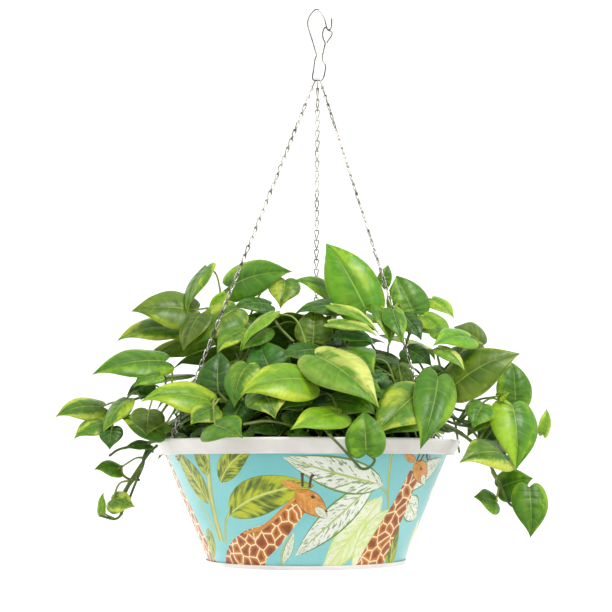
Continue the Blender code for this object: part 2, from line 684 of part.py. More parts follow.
def closed_proxy(points, faces, out, thick):
    """The sheet with thickness, closed all round, for clearance tests."""
    half = out * thick / 2
    count = len(points)
    solid = [point + half for point in points] + [point - half for point in points]
    edges = {}
    for face in faces:
        for a, b in zip(face, face[1:] + face[:1]):
            edges[(a, b)] = True
    rim = [(a, b, b + count, a + count) for a, b in edges if (b, a) not in edges]
    lower = [tuple(i + count for i in face[::-1]) for face in faces]
    return solid, list(faces) + lower + rim


def tube_proxy(points, radius):
    """A four-sided tube round these points, for clearance tests."""
    solid, faces = [], []
    for i, point in enumerate(points):
        ahead = (points[min(i + 1, len(points) - 1)] - points[max(i - 1, 0)]).normalized()
        side = ahead.orthogonal().normalized()
        other = ahead.cross(side)
        solid += [point + way * radius for way in (side, other, -side, -other)]
    for i in range(len(points) - 1):
        for k in range(4):
            a, b = 4 * i + k, 4 * i + (k + 1) % 4
            faces.append((a, b, b + 4, a + 4))
    return solid, faces


def box_of(points):
    return [min(p[i] for p in points) for i in range(3)], [max(p[i] for p in points) for i in range(3)]


def meets(shape, placed, owner):
    """True if the shape cuts one already placed that belongs to another owner."""
    low, high = box_of(shape[0])
    tree = None
    for other_owner, other_low, other_high, other_tree in placed:
        if other_owner == owner:
            continue
        if any(low[i] > other_high[i] or high[i] < other_low[i] for i in range(3)):
            continue
        tree = tree or BVHTree.FromPolygons(*shape)
        if tree.overlap(other_tree):
            return True
    return False


def keep(shape, placed, owner):
    placed.append((owner, *box_of(shape[0]), BVHTree.FromPolygons(*shape)))


SHIFTS = [0, 5, -5, 10, -10, 15, -15, 20, -20, 26, -26]


def settled_leaves(placed):
    """Each leaf moved back or forward, where it can be, until it clears everything placed before it."""
    settled = []
    for number, (vine, base, tip, width, face, way) in enumerate(all_leaves()):
        for shift in SHIFTS:
            start, end = base + way * shift, tip + way * shift
            points, faces = leaf_sheet(start, end, width, face)
            shape = closed_proxy(points, faces, leaf_axes(start, end, face)[2], LEAF_CLEARANCE)
            if not meets(shape, placed, None):
                keep(shape, placed, ("leaf", number))
                settled.append((number, vine, start, end, width, face))
                break
    return settled


STALK_SET_BACK = 0.12  # how far down the stem a stalk starts, as a share of the stem
SMALLEST_SOLID_LEAF = 20.0  # a shorter leaf, or every second one in the heart of the clump, has no solid


def vines(parts, workshop, finish):
    """Each vine as one solid: its stem, and the leaves whose stalks clear every other vine."""
    stems = {vine: smooth_path(places, 1) for vine, places in all_stems().items()}
    placed = []
    for obj in list(parts.objects):
        if not obj.name.startswith(("soil", "planter", "base")):
            keep(world_shape(obj), placed, obj.name)
    for vine, path in stems.items():
        keep(tube_proxy(path, STEM_R + STALK_CLEARANCE), placed, vine)
    leaves = settled_leaves(placed)
    members = {vine: [] for vine in stems}
    for number, vine, base, tip, width, face in leaves:
        if (tip - base).length < SMALLEST_SOLID_LEAF or (vine in INNER_VINES and number % 2):
            continue
        others = [entry for entry in placed if entry[0] not in (vine, ("leaf", number))]
        nearest = nearest_share(stems[vine], base) - STALK_SET_BACK
        for slide in (0, 0.06, -0.06, 0.12, -0.12, 0.2, -0.2, -0.3):
            stalk = stalk_path(stems[vine], base, tip, face, max(nearest + slide, 0.1))
            shape = tube_proxy(stalk, STALK_R + STALK_CLEARANCE)
            own = {("leaf", n) for n, v, *_ in leaves if v == vine}
            rest = [entry for entry in others if entry[0] not in own]
            if not meets(shape, rest, vine):
                keep(shape, placed, vine)
                members[vine].append((base, tip, width, face, stalk))
                break
    for vine, path in stems.items():
        stem = to_mesh(wire(vine, path, STEM_R, workshop, sides=0), workshop)
        pieces = []
        for base, tip, width, face, stalk in members[vine]:
            points, faces = leaf_sheet(base, tip, width, face)
            blade = mesh_object("blade", points, faces, workshop)
            solidify = blade.modifiers.new("sheet", "SOLIDIFY")
            solidify.thickness = LEAF_SHEET * MM
            solidify.offset = 0
            pieces.append(to_mesh(blade, workshop))
            pieces.append(to_mesh(wire("stalk", stalk, STALK_R, workshop, sides=0), workshop))
        made = boolean(stem, "UNION", pieces, workshop) if pieces else stem
        finish_piece(made, vine, parts, finish)


def world_shape(obj):
    """(points in mm, faces) of an object as evaluated."""
    graph = bpy.context.evaluated_depsgraph_get()
    evaluated = obj.evaluated_get(graph)
    mesh = evaluated.to_mesh()
    points = [obj.matrix_world @ vertex.co / MM for vertex in mesh.vertices]
    faces = [tuple(face.vertices) for face in mesh.polygons]
    evaluated.to_mesh_clear()
    return points, faces


def main():
    clear_scene()
    parts = new_collection("hanging_pothos_basket")
    workshop = new_collection("cutters")
    steel = material("bright_wire", (0.72, 0.72, 0.70), 0.22, 1.0)
    wrap = material("printed_tub", (0.45, 0.78, 0.78), 0.35)
    rim = material("white_enamel", (0.90, 0.88, 0.86), 0.3)
    mix = material("potting_mix", (0.06, 0.04, 0.03), 0.95)
    leaf = material("pothos_leaf", (0.13, 0.36, 0.04), 0.35)
    hook(parts, workshop, steel)
    top_links(parts, workshop, steel)
    clips(parts, workshop, steel)
    chains(parts, workshop, steel)
    planter_shell(parts, wrap)
    rim_band(parts, workshop, rim)
    base_band(parts, rim)
    soil(parts, mix)
    bpy.context.view_layer.update()
    vines(parts, workshop, leaf)
    workshop.hide_render = True


main()
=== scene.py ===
"""The look of the hanging pothos basket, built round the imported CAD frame: bright bent-wire hook, three
linked chains, wire clips, white-rimmed printed tub, potting mix, and trailing vines with variegated leaves.

Lengths are in millimetres until a piece is made, and MM turns them into metres.
"""
import random
from math import atan2, cos, exp, pi, radians, sin, sqrt

import bmesh
import bpy
from mathutils import Matrix, Vector
from mathutils.bvhtree import BVHTree
from mathutils.geometry import delaunay_2d_cdt


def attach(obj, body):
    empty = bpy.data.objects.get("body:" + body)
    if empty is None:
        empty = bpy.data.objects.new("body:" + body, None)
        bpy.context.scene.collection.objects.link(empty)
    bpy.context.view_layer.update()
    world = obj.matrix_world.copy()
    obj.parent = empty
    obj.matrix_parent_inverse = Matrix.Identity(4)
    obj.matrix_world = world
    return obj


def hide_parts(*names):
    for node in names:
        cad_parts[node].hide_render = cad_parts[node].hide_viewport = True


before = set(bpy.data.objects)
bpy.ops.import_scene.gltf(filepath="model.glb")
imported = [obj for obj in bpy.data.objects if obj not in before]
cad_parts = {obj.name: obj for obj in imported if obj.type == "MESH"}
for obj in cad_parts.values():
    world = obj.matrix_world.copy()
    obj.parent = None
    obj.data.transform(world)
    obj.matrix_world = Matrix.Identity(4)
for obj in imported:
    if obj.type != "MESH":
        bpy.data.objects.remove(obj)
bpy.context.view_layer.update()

MM = 0.001
BASKET = "basket"

# The planter, as in the CAD
PLANTER_X = -12.0
RIM_TOP_Z = -444.0
RIM_TOP_R = 153.0
RIM_LOW_R = 146.5
RIM_HEIGHT = 14.5
RIM_SHEET = 1.5
LIP_INNER_R = 141.0
TUB_HIGH_R = 144.6
TUB_LOW_R = 95.6
TUB_WALL = 1.6
TUB_FLOOR = 2.0
BASE_Z = -563.6
BASE_BAND_HEIGHT = 4.2
BASE_BAND_SHEET = 1.2
SOIL_TOP_Z = -455.0
FIT_GAP = 0.35
COLUMNS = 144  # round the planter

# Hook, chains and clips, as in the CAD
HOOK_WIRE_R = 0.8
LINK_WIRE_R = 0.65
CLIP_WIRE_R = 0.9
EYE_WIRE_Z = -75.0
TOP_LINK_X = {"left": -2.6, "back": 0.0, "right": 2.6}
CLIP_RADIUS = 147.6
CLIP_ANGLES = {"left": 214.0, "right": 322.0, "back": 86.0}
CLIP_EYE_R = 2.9
CLIP_NECK = 3.0
LINK_PLAY = 0.25

# The plants, as in the CAD
STEM_R = 1.5
STALK_R = 0.95
STALK_CLEARANCE = 0.5
STEM_FOOT = 2.2  # how far above the soil a stem's middle starts
LEAF_CLEARANCE = 1.5  # how thick a leaf is taken to be while it is placed
STALK_SET_BACK = 0.12  # how far down the stem from its leaf a stalk starts, as a share of the stem
EYE_DISTANCE = 1280.0  # vines that show are laid out as they look from an eye at this distance and height
EYE_Z = -471.0
FRONT_EDGE_Z = -441.0  # heights in the lists of vines and leaves count from here


# ---- Materials ----

VEINS = 8.0  # along each side of a blade


def srgb(red, green, blue):
    """A linear colour from display values of 0 to 255."""
    shares = [value / 255 for value in (red, green, blue)]
    return (*[c / 12.92 if c <= 0.04045 else ((c + 0.055) / 1.055) ** 2.4 for c in shares], 1.0)


class Value:
    """What a node of a material gives out, which can be added, subtracted and multiplied."""

    def __init__(self, finish, socket):
        self.finish = finish
        self.socket = socket

    def __add__(self, other):
        return self.finish.math("ADD", self, other)

    def __sub__(self, other):
        return self.finish.math("SUBTRACT", self, other)

    def __rsub__(self, other):
        return self.finish.math("SUBTRACT", other, self)

    def __mul__(self, other):
        return self.finish.math("MULTIPLY", self, other)


class Finish:
    """A node material being built."""

    def __init__(self, name, **sockets):
        self.material = bpy.data.materials.new(name)
        self.material.use_nodes = True
        self.tree = self.material.node_tree
        self.shader = self.tree.nodes["Principled BSDF"]
        for socket, value in sockets.items():
            self.feed(self.shader.inputs[socket.replace("_", " ")], value)

    def feed(self, socket, value):
        """Links a socket to a value, or sets it to a number or to a colour of display values."""
        if isinstance(value, Value):
            self.tree.links.new(value.socket, socket)
        elif isinstance(value, tuple):
            socket.default_value = srgb(*value)
        else:
            socket.default_value = value

    def add(self, kind, inputs, **settings):
        made = self.tree.nodes.new("ShaderNode" + kind)
        for setting, value in settings.items():
            setattr(made, setting, value)
        for socket, value in inputs.items():
            self.feed(made.inputs[socket], value)
        return made.outputs

    def value(self, output, kind, inputs, **settings):
        return Value(self, self.add(kind, inputs, **settings)[output])

    def attribute(self, name, output="Vector"):
        return self.value(output, "Attribute", {}, attribute_name=name)

    def place(self):
        return self.value("Object", "TexCoord", {})

    def parts(self, vector):
        return [Value(self, output) for output in self.add("SeparateXYZ", {0: vector})]

    def math(self, operation, a, b=0.0):
        return self.value(0, "Math", {0: a, 1: b}, operation=operation)

    def noise(self, vector, scale, detail=2.0, rough=0.5):
        inputs = {"Vector": vector, "Scale": scale, "Detail": detail, "Roughness": rough}
        return self.value("Fac", "TexNoise", inputs)

    def streaks(self, v, s, seed, rate, spread, detail):
        """Noise in a leaf's own coordinates, drawn out along or across it."""
        return self.noise(self.join(v * rate, s * spread, seed), 1.0, detail)

    def join(self, x, y, z):
        return self.value(0, "CombineXYZ", {0: x, 1: y, 2: z})

    def spread(self, value, low, high, to_low=0.0, to_high=1.0):
        inputs = {"Value": value, "From Min": low, "From Max": high, "To Min": to_low, "To Max": to_high}
        return self.value("Result", "MapRange", inputs, interpolation_type="SMOOTHSTEP")

    def mix(self, share, a, b, blend="MIX"):
        return self.value(2, "Mix", {0: share, 6: a, 7: b}, data_type="RGBA", blend_type=blend)

    def deepen(self, share, tone, by):
        """The tone multiplied by a colour, where share is 1."""
        return self.mix(share, tone, self.mix(1.0, tone, by, "MULTIPLY"))

    def surface(self, tone, varied, rough_from, rough_to, height, distance, strength):
        """The finished material: its colour, its roughness as varied goes from low to high, and its bump."""
        self.feed(self.shader.inputs["Base Color"], tone)
        self.feed(self.shader.inputs["Roughness"], self.spread(varied, 0.3, 0.7, rough_from, rough_to))
        bump = {"Height": height, "Distance": distance, "Strength": strength}
        self.feed(self.shader.inputs["Normal"], self.value(0, "Bump", bump))
        return self.material


def wire_finish(name, dark_reflection, bright):
    """Bright drawn wire: fine marks on it, rougher in patches, and darker there as a painted dark reflection.
    """
    made = Finish(name, Metallic=1.0)
    place = made.place()
    patches = made.noise(place, 90.0, 3.0)
    # Painted reflection: the darker colour of the rougher patches stands for dark surroundings mirrored in
    # the wire.
    tone = made.mix(made.spread(patches, 0.35, 0.65), dark_reflection, bright)
    return made.surface(tone, patches, 0.28, 0.14, made.noise(place, 1400.0), 0.00006, 0.3)


def enamel_finish():
    """White enamel on rolled sheet: an even gloss with a faint ripple and a few dulled patches."""
    made = Finish("white_enamel_rim", Coat_Weight=0.25, Coat_Roughness=0.12)
    place = made.place()
    patches = made.noise(place, 28.0, 4.0)
    specks = made.noise(place, 900.0)
    tone = made.mix(made.spread(patches, 0.3, 0.7), (231, 226, 220), (244, 241, 236))
    tone = made.mix(made.spread(specks, 0.72, 0.8, 0.0, 0.35), tone, (196, 188, 182))
    return made.surface(tone, patches, 0.42, 0.3, made.noise(place, 260.0), 0.00012, 0.35)


def soil_finish():
    """Dark fibrous potting mix with lighter specks."""
    made = Finish("dark_potting_mix")
    place = made.place()
    crumbs = made.noise(place, 420.0, 5.0, 0.65)
    tone = made.mix(made.spread(crumbs, 0.3, 0.7), (28, 18, 11), (74, 52, 34))
    tone = made.mix(made.spread(made.noise(place, 190.0), 0.68, 0.74), tone, (172, 160, 140))
    return made.surface(tone, crumbs, 0.98, 0.82, crumbs, 0.0016, 0.9)


def grain_finish():
    """Perlite grains in the mix."""
    made = Finish("pale_perlite")
    pores = made.noise(made.place(), 900.0, 3.0)
    tone = made.mix(made.spread(pores, 0.35, 0.65), (176, 168, 152), (232, 228, 218))
    return made.surface(tone, pores, 0.95, 0.8, pores, 0.0004, 0.6)


def blade_finish():
    """A pothos blade. Its own coordinates run along the midrib and out to the margin, and each leaf carries a
    deep tone, a pale tone and how much of each half is pale."""
    made = Finish("pothos_blade", Specular_IOR_Level=0.32, Subsurface_Weight=0.06, Subsurface_Scale=0.0012)
    made.shader.inputs["Subsurface Radius"].default_value = (0.5, 1.0, 0.15)
    made.shader.inputs["Coat Weight"].default_value = 0.08
    made.shader.inputs["Coat Roughness"].default_value = 0.2
    v, s, seed = made.parts(made.attribute("blade"))
    left, right, under = made.parts(made.attribute("pale_share"))
    deep = made.attribute("deep_tone", "Color")
    pale = made.attribute("pale_tone", "Color")
    out = made.math("ABSOLUTE", s)
    blotch = made.streaks(v, s, seed, 3.4, 1.7, 2.0)
    stripes = made.streaks(v, s, seed, 24.0, 2.2, 3.0)
    # Variegation: broken blotches and stripes, more of them on a paler half and towards the margin.
    side = made.math("GREATER_THAN", s, 0.0)
    share = left + side * (right - left)
    level = blotch * 0.6 + stripes * 0.4 + share * 0.42 + (out - 0.6) * 0.16
    tone = made.mix(made.spread(level, 0.64, 0.78), deep, pale)
    tone = made.mix(made.spread(blotch, 0.35, 0.68) * 0.28, tone, pale)
    tone = made.deepen(made.spread(stripes, 0.4, 0.62, 0.0, 0.42), tone, (176, 196, 96))
    # Veins leave the midrib at an even spacing and fade towards the margin.
    wave = made.math("PINGPONG", v * VEINS, 0.5)
    vein = made.spread(wave, 0.0, 0.09, 1.0, 0.0) * made.spread(out, 0.1, 0.95, 0.3, 0.05)
    rib = made.spread(out, 0.012, 0.05, 1.0, 0.0)
    tone = made.mix(vein, tone, (152, 196, 52))
    tone = made.mix(rib * 0.45, tone, (170, 200, 72))
    tone = made.mix(made.spread(out, 0.93, 1.0, 0.0, 0.3), tone, (182, 196, 62))
    # Painted shade: the blade is darkened in the groove beside its midrib, fading out halfway to the margin.
    groove_shade = made.spread(out, 0.05, 0.5, 0.45, 0.0) * (1.0 - rib)
    tone = made.deepen(groove_shade, tone, (150, 170, 110))
    mottle = made.noise(made.place(), 160.0, 3.0)
    tone = made.deepen(made.spread(mottle, 0.3, 0.7, 0.0, 0.2), tone, (200, 210, 150))
    tone = made.mix(under * 0.3, tone, (140, 172, 72))
    height = made.spread(wave, 0.0, 0.5) * 0.5 + mottle * 0.25 - rib * 0.6
    return made.surface(tone, mottle, 0.34, 0.46, height, 0.0011, 0.6)


def stalk_finish():
    """Green stems, paler in stretches, with brown flecks."""
    made = Finish("green_stalk", Subsurface_Weight=0.05, Subsurface_Scale=0.001)
    place = made.place()
    fine = made.noise(place, 520.0, 3.0)
    deep = made.attribute("deep_tone", "Color")
    pale = made.attribute("pale_tone", "Color")
    tone = made.mix(made.spread(made.noise(place, 42.0, 3.0), 0.35, 0.65), deep, pale)
    tone = made.mix(made.spread(fine, 0.5, 0.75, 0.0, 0.4), tone, (104, 92, 44))
    return made.surface(tone, fine, 0.4, 0.55, fine, 0.0004, 0.5)


def print_finish(name):
    """A material of the lacquered print."""
    return Finish(name, Coat_Weight=0.3, Coat_Roughness=0.18)


def print_ground_finish():
    """The aqua ground of the print, with a faint wash."""
    made = print_finish("print_aqua_ground")
    place = made.place()
    wash = made.noise(place, 16.0, 4.0)
    grain = made.noise(place, 700.0)
    tone = made.mix(made.spread(wash, 0.3, 0.7), (126, 208, 209), (148, 220, 220))
    tone = made.mix(made.spread(grain, 0.45, 0.7, 0.0, 0.25), tone, (114, 198, 200))
    return made.surface(tone, wash, 0.42, 0.34, grain, 0.00006, 0.3)


def print_leaf_finish(name, deep, pale, rib_tone, edge_tone, edge_from, dash):
    """A painted leaf on the print: brushed from deep to pale along its veins, with a drawn rib and edge."""
    made = print_finish(name)
    v, s, seed = made.parts(made.attribute("print"))
    out = made.math("ABSOLUTE", s)
    sweep = v * 20.0 - out * 4.5
    brush = made.streaks(sweep, s, seed, 1.0, 1.6, 3.0)
    broad = made.streaks(v, s, seed, 3.5, 1.3, 2.0)
    flecks = made.streaks(sweep, s, seed, 1.4, 4.0, 2.0)
    tone = made.mix(made.spread(brush + broad, 0.8, 1.2), deep, pale)
    tone = made.mix(made.spread(flecks, 0.56, 0.6, 0.0, dash), tone, edge_tone)
    tone = made.mix(made.spread(out, 0.03, 0.1, 1.0, 0.0), tone, rib_tone)
    tone = made.mix(made.spread(out, edge_from, edge_from + 0.05), tone, edge_tone)
    return made.surface(tone, brush, 0.42, 0.34, brush, 0.00004, 0.3)


def print_coat_finish():
    """A painted coat: brown patches between cream lines."""
    made = print_finish("print_patched_coat")
    across, up, seed = made.parts(made.attribute("print"))
    bend = made.streaks(across, up, seed, 0.12, 0.12, 2.0)
    inputs = {"Vector": made.join(across + bend * 5.0, up, seed), "Scale": 0.098}
    edge = made.value("Distance", "TexVoronoi", inputs, feature="DISTANCE_TO_EDGE", voronoi_dimensions="2D")
    cell = made.value("Color", "TexVoronoi", inputs, voronoi_dimensions="2D")
    warm = made.mix(made.parts(cell)[0], (226, 142, 40), (182, 88, 26))
    patch = made.mix(made.spread(edge, 0.1, 0.42), warm, (142, 66, 24))
    tone = made.mix(made.spread(edge, 0.045, 0.085), (252, 236, 190), patch)
    return made.surface(tone, bend, 0.42, 0.34, bend, 0.00004, 0.3)


def studio_finish():
    """The pale matt floor."""
    made = Finish("pale_floor")
    haze = made.noise(made.place(), 0.8)
    made.feed(made.shader.inputs["Base Color"], made.mix(haze, (248, 248, 247), (252, 252, 252)))
    made.feed(made.shader.inputs["Roughness"], made.spread(haze, 0.2, 0.8, 0.9, 1.0))
    return made.material


# ---- Mesh helpers: a Build gathers points in mm, faces, and one value of each attribute for each point ----

CAP_REACH = 0.6  # how far a tube's rounded end stands out, and how wide it ends, as shares of its radius
CAP_WIDTH = 0.55


def put(name, data):
    """A new object in the scene."""
    obj = bpy.data.objects.new(name, data)
    bpy.context.scene.collection.objects.link(obj)
    return obj


class Build:
    def __init__(self):
        self.points = []
        self.faces = []
        self.values = {}

    def add(self, points, faces, **values):
        """Adds points and faces. Each value is one for all of the points, or a list with one for each."""
        first = len(self.points)
        self.points += points
        self.faces += [tuple(first + i for i in face) for face in faces]
        for name, value in values.items():
            row = value if isinstance(value, list) else [value] * len(points)
            self.values.setdefault(name, []).extend(row)

    def piece(self, name, finishes, slot, replaced, body=BASKET, material_of=None):
        """The finished piece, riding on its body in place of the CAD nodes that it stands for."""
        mesh = bpy.data.meshes.new(name)
        mesh.from_pydata([point * MM for point in self.points], [], self.faces)
        for value, row in self.values.items():
            kind, key = ("FLOAT_COLOR", "color") if len(row[0]) == 4 else ("FLOAT_VECTOR", "vector")
            layer = mesh.attributes.new(value, kind, "POINT")
            layer.data.foreach_set(key, [number for entry in row for number in entry])
        for finish in finishes:
            mesh.materials.append(finish)
        if material_of:
            mesh.polygons.foreach_set("material_index", material_of)
        mesh.shade_smooth()
        obj = put(name, mesh)
        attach(obj, body)
        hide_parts(*replaced)
        return obj


def turned(radius, turn, z):
    """The place at this radius from the planter's axis, at this turn from +X in radians."""
    return Vector((PLANTER_X + radius * cos(turn), radius * sin(turn), z))


def squared(way, axis):
    """The direction nearest to this one that is square to an axis."""
    return (way - axis * way.dot(axis)).normalized()


def heading(path, i):
    """The direction of a path at its point number i."""
    return (path[min(i + 1, len(path) - 1)] - path[max(i - 1, 0)]).normalized()


def grid(rows, columns, first=0, closed=True):
    """Faces between rows of points, from the last column round to the first as well if closed."""
    faces = []
    for i in range(rows - 1):
        for k in range(columns if closed else columns - 1):
            a, b = first + columns * i + k, first + columns * i + (k + 1) % columns
            faces.append((a, b, b + columns, a + columns))
    return faces


def smooth_path(places, parts):
    """Points on a smooth curve through these places or numbers, with this many parts between each two."""
    ends = [places[0] * 2 - places[1]] + places + [places[-1] * 2 - places[-2]]
    points = []
    for a, b, c, d in zip(ends, ends[1:], ends[2:], ends[3:]):
        for i in range(parts):
            t = i / parts
            curve = 2 * b + (c - a) * t + (2 * a - 5 * b + 4 * c - d) * t**2 + (3 * b - a - 3 * c + d) * t**3
            points.append(0.5 * curve)
    return points + [places[-1]]


def tube(build, points, radii, sides=12, **values):
    """A round tube through these points, with rounded ends. radii is one number, or one for each point."""
    if not isinstance(radii, list):
        radii = [radii] * len(points)
    start, end = (points[0] - points[1]).normalized(), (points[-1] - points[-2]).normalized()
    path = [points[0] + start * radii[0] * CAP_REACH] + points + [points[-1] + end * radii[-1] * CAP_REACH]
    sizes = [radii[0] * CAP_WIDTH] + radii + [radii[-1] * CAP_WIDTH]
    made = []
    side = (path[1] - path[0]).orthogonal().normalized()
    for i, (point, size) in enumerate(zip(path, sizes)):
        ahead = heading(path, i)
        side = squared(side, ahead)
        other = ahead.cross(side)
        for k in range(sides):
            turn = 2 * pi * k / sides
            made.append(point + (side * cos(turn) + other * sin(turn)) * size)
    caps = [tuple(range(sides))[::-1], tuple(range(len(made) - sides, len(made)))]
    build.add(made, grid(len(path), sides) + caps, **values)


def ring(build, profile):
    """A closed profile of (radius, z) turned about the planter's axis."""
    points = [turned(radius, 2 * pi * i / COLUMNS, z) for i in range(COLUMNS) for radius, z in profile]
    build.add(points, [tuple(j % len(points) for j in face) for face in grid(COLUMNS + 1, len(profile))])


def rounded(profile, radius, parts=3):
    """A closed profile with its corners rounded, as far as its sides allow."""
    made = []
    corners = [Vector(corner) for corner in profile]
    for before, here, after in zip(corners[-1:] + corners, corners, corners[1:] + corners[:1]):
        reach = min(radius, (before - here).length * 0.45, (after - here).length * 0.45)
        first = here + (before - here).normalized() * reach
        last = here + (after - here).normalized() * reach
        for k in range(parts + 1):
            t = k / parts
            made.append(tuple(first * (1 - t) ** 2 + here * 2 * t * (1 - t) + last * t**2))
    return made


# ---- Hook, chains and clips ----

# The hook's wire as (x, z, y), from its free tip round the bow, through the lower eye, to the keeper's end.
HOOK_ROUTE = [
    (14.6, -9.5, -1.3), (14.6, -14.5, -1.3), (14.2, -18.6, -1.3), (12.9, -20.9, -1.3), (11.2, -21.1, -1.3),
    (9.6, -19.2, -1.3), (8.6, -15.4, -1.1), (7.6, -10.8, -0.8), (5.4, -5.6, -0.4), (2.6, -1.2, 0),
    (0.0, 0.8, 0), (-3.0, 0.1, 0), (-6.2, -3.2, 0), (-9.0, -7.8, 0), (-10.3, -13.2, 0), (-9.8, -18.4, 0),
    (-8.2, -23.8, 0), (-6.2, -30.0, 0), (-4.2, -37.2, 0), (-2.2, -44.2, 0), (-1.2, -48.6, 0),
    (-2.4, -51.6, 0), (-3.4, -57.4, 0), (-4.2, -64.0, 0), (-5.2, -70.0, 0), (-5.0, -73.4, 0),
    (-3.6, -75.0, 0), (0.0, -75.0, 0), (3.6, -75.0, 0), (5.4, -73.4, 0), (6.7, -69.8, 0), (7.8, -64.2, 0),
    (8.0, -59.0, 0), (5.4, -54.0, 0.2), (5.0, -49.4, 0.6), (6.2, -42.8, 1.0), (7.8, -35.2, 1.3),
    (6.0, -30.4, 1.3), (5.2, -26.0, 1.3), (5.8, -21.6, 1.3), (7.6, -18.0, 1.3), (9.6, -19.4, 1.3),
    (11.4, -21.6, 1.3), (13.6, -21.8, 1.5), (15.0, -23.6, 1.8), (14.2, -27.0, 2.2), (11.6, -30.8, 2.6),
    (9.6, -33.8, 3.1),
]
CLIP_LEG = [  # (outward, up) from where it passes through the lip
    (0.0, 0.6), (-0.1, -3.0), (-2.8, -9.0), (-5.4, -14.5), (-5.5, -17.6), (-4.4, -19.9), (-2.7, -19.6),
    (-2.1, -16.4),
]
LINK_PITCH = 10.5
LINK_BEND_R = 2.05  # the wide end of a link
LINK_EYE_R = 1.35  # its narrow end, turned across the wide one
CHAIN_TURN = {"left": 42.0, "back": 84.0, "right": 38.0}  # how far the middle of each chain is twisted
TWIST_LINKS = 3  # over which a chain twists at each end


def outward(bearing):
    """The level direction at this bearing from +X in degrees."""
    return Vector((cos(radians(bearing)), sin(radians(bearing)), 0))


def clip_foot(bearing):
    """Where a clip's leg passes through the lip."""
    return turned(CLIP_RADIUS, radians(bearing), RIM_TOP_Z)


def link_points(top, down, side, pitch):
    """One jack-chain link as a wire: up one side, over the wide bend, down the other, round the small eye."""
    across = down.cross(side)
    eye = pitch + 2 * LINK_WIRE_R + LINK_PLAY - LINK_EYE_R
    neck = eye - LINK_EYE_R

    def place(drop, sway):
        return top + down * drop + side * sway

    places = [place(neck, 0.4), place(neck * 0.62, LINK_BEND_R * 0.72)]
    for i in range(7):
        turn = pi * i / 6
        places.append(place(LINK_BEND_R * (1 - sin(turn)), LINK_BEND_R * cos(turn)))
    places += [place(neck * 0.62, -LINK_BEND_R * 0.72), place(neck, -0.4)]
    for i in range(1, 9):
        turn = 2 * pi * i / 9
        places.append(place(eye - LINK_EYE_R * cos(turn), 0) + across * LINK_EYE_R * sin(turn))
    return smooth_path(places, 2)


def make_hook(steel):
    build = Build()
    tube(build, smooth_path([Vector((x, y, z)) for x, z, y in HOOK_ROUTE], 4), HOOK_WIRE_R)
    build.piece("hook_wire", [steel], "bright_wire", ["hook"], "hook")


def make_chains(steel):
    """Every link of each chain, from the hook's lower eye to its clip, twisted to how it hangs between."""
    bend = 2 * CLIP_EYE_R + CLIP_NECK - CLIP_WIRE_R - LINK_WIRE_R - LINK_PLAY
    for name, bearing in CLIP_ANGLES.items():
        carrier = Vector((TOP_LINK_X[name], 0, EYE_WIRE_Z))
        end = clip_foot(bearing) + Vector((0, 0, bend))
        down = (end - carrier).normalized()
        start = carrier - down * (HOOK_WIRE_R + LINK_WIRE_R + LINK_PLAY)
        length = (end - start).length - 2 * LINK_WIRE_R - LINK_PLAY
        count = round(length / LINK_PITCH)
        pitch = length / count
        first, last = squared(Vector((0, 1, 0)), down), squared(outward(bearing), down)
        over = atan2(first.cross(last).dot(down), first.dot(last))
        over = (over + pi / 2) % pi - pi / 2  # a link looks the same after half a turn
        build = Build()
        for i in range(count):
            near_top = min(i / TWIST_LINKS, 1.0)
            near_end = min((count - 1 - i) / TWIST_LINKS, 1.0)
            free = radians(CHAIN_TURN[name]) + 0.12 * sin(2.1 * i)
            side = Matrix.Rotation(free * near_top * near_end + over * (1 - near_end), 3, down) @ first
            tube(build, link_points(start + down * pitch * i, down, side, pitch), LINK_WIRE_R, 8)
        build.piece("chain_links_" + name, [steel], "bright_wire", ["chain_" + name, "top_link_" + name])


def make_clips(steel):
    up = Vector((0, 0, 1))
    for name, bearing in CLIP_ANGLES.items():
        out, foot = outward(bearing), clip_foot(bearing)
        eye = foot + up * (CLIP_EYE_R + CLIP_NECK)
        places = []
        for i in range(8):
            turn = radians(-60 - 300 * i / 7)
            places.append(eye + out * CLIP_EYE_R * cos(turn) + up * CLIP_EYE_R * sin(turn))
        places[0] += out * 0.6 - up * 0.2
        places += [foot + out * across + up * rise for across, rise in CLIP_LEG]
        build = Build()
        tube(build, smooth_path(places, 4), CLIP_WIRE_R)
        build.piece("clip_wire_" + name, [steel], "bright_wire", ["clip_" + name])


# ---- Planter ----

SOIL_ROWS, SOIL_COLUMNS = 26, 96
SOIL_FALL = 3.0  # how far the bed falls to the wall, over the last of its radius
SOIL_FALL_SHARE = 0.07
GRAINS = 90
GRAIN_WAYS = ((1, 0, 0), (0, 1, 0), (-1, 0, 0), (0, -1, 0), (0, 0, 1), (0, 0, -1))


def tub_radius(z):
    """The tub's outer radius at this height."""
    high, low = RIM_TOP_Z - RIM_SHEET - FIT_GAP, BASE_Z
    return TUB_LOW_R + (TUB_HIGH_R - TUB_LOW_R) * (z - low) / (high - low)


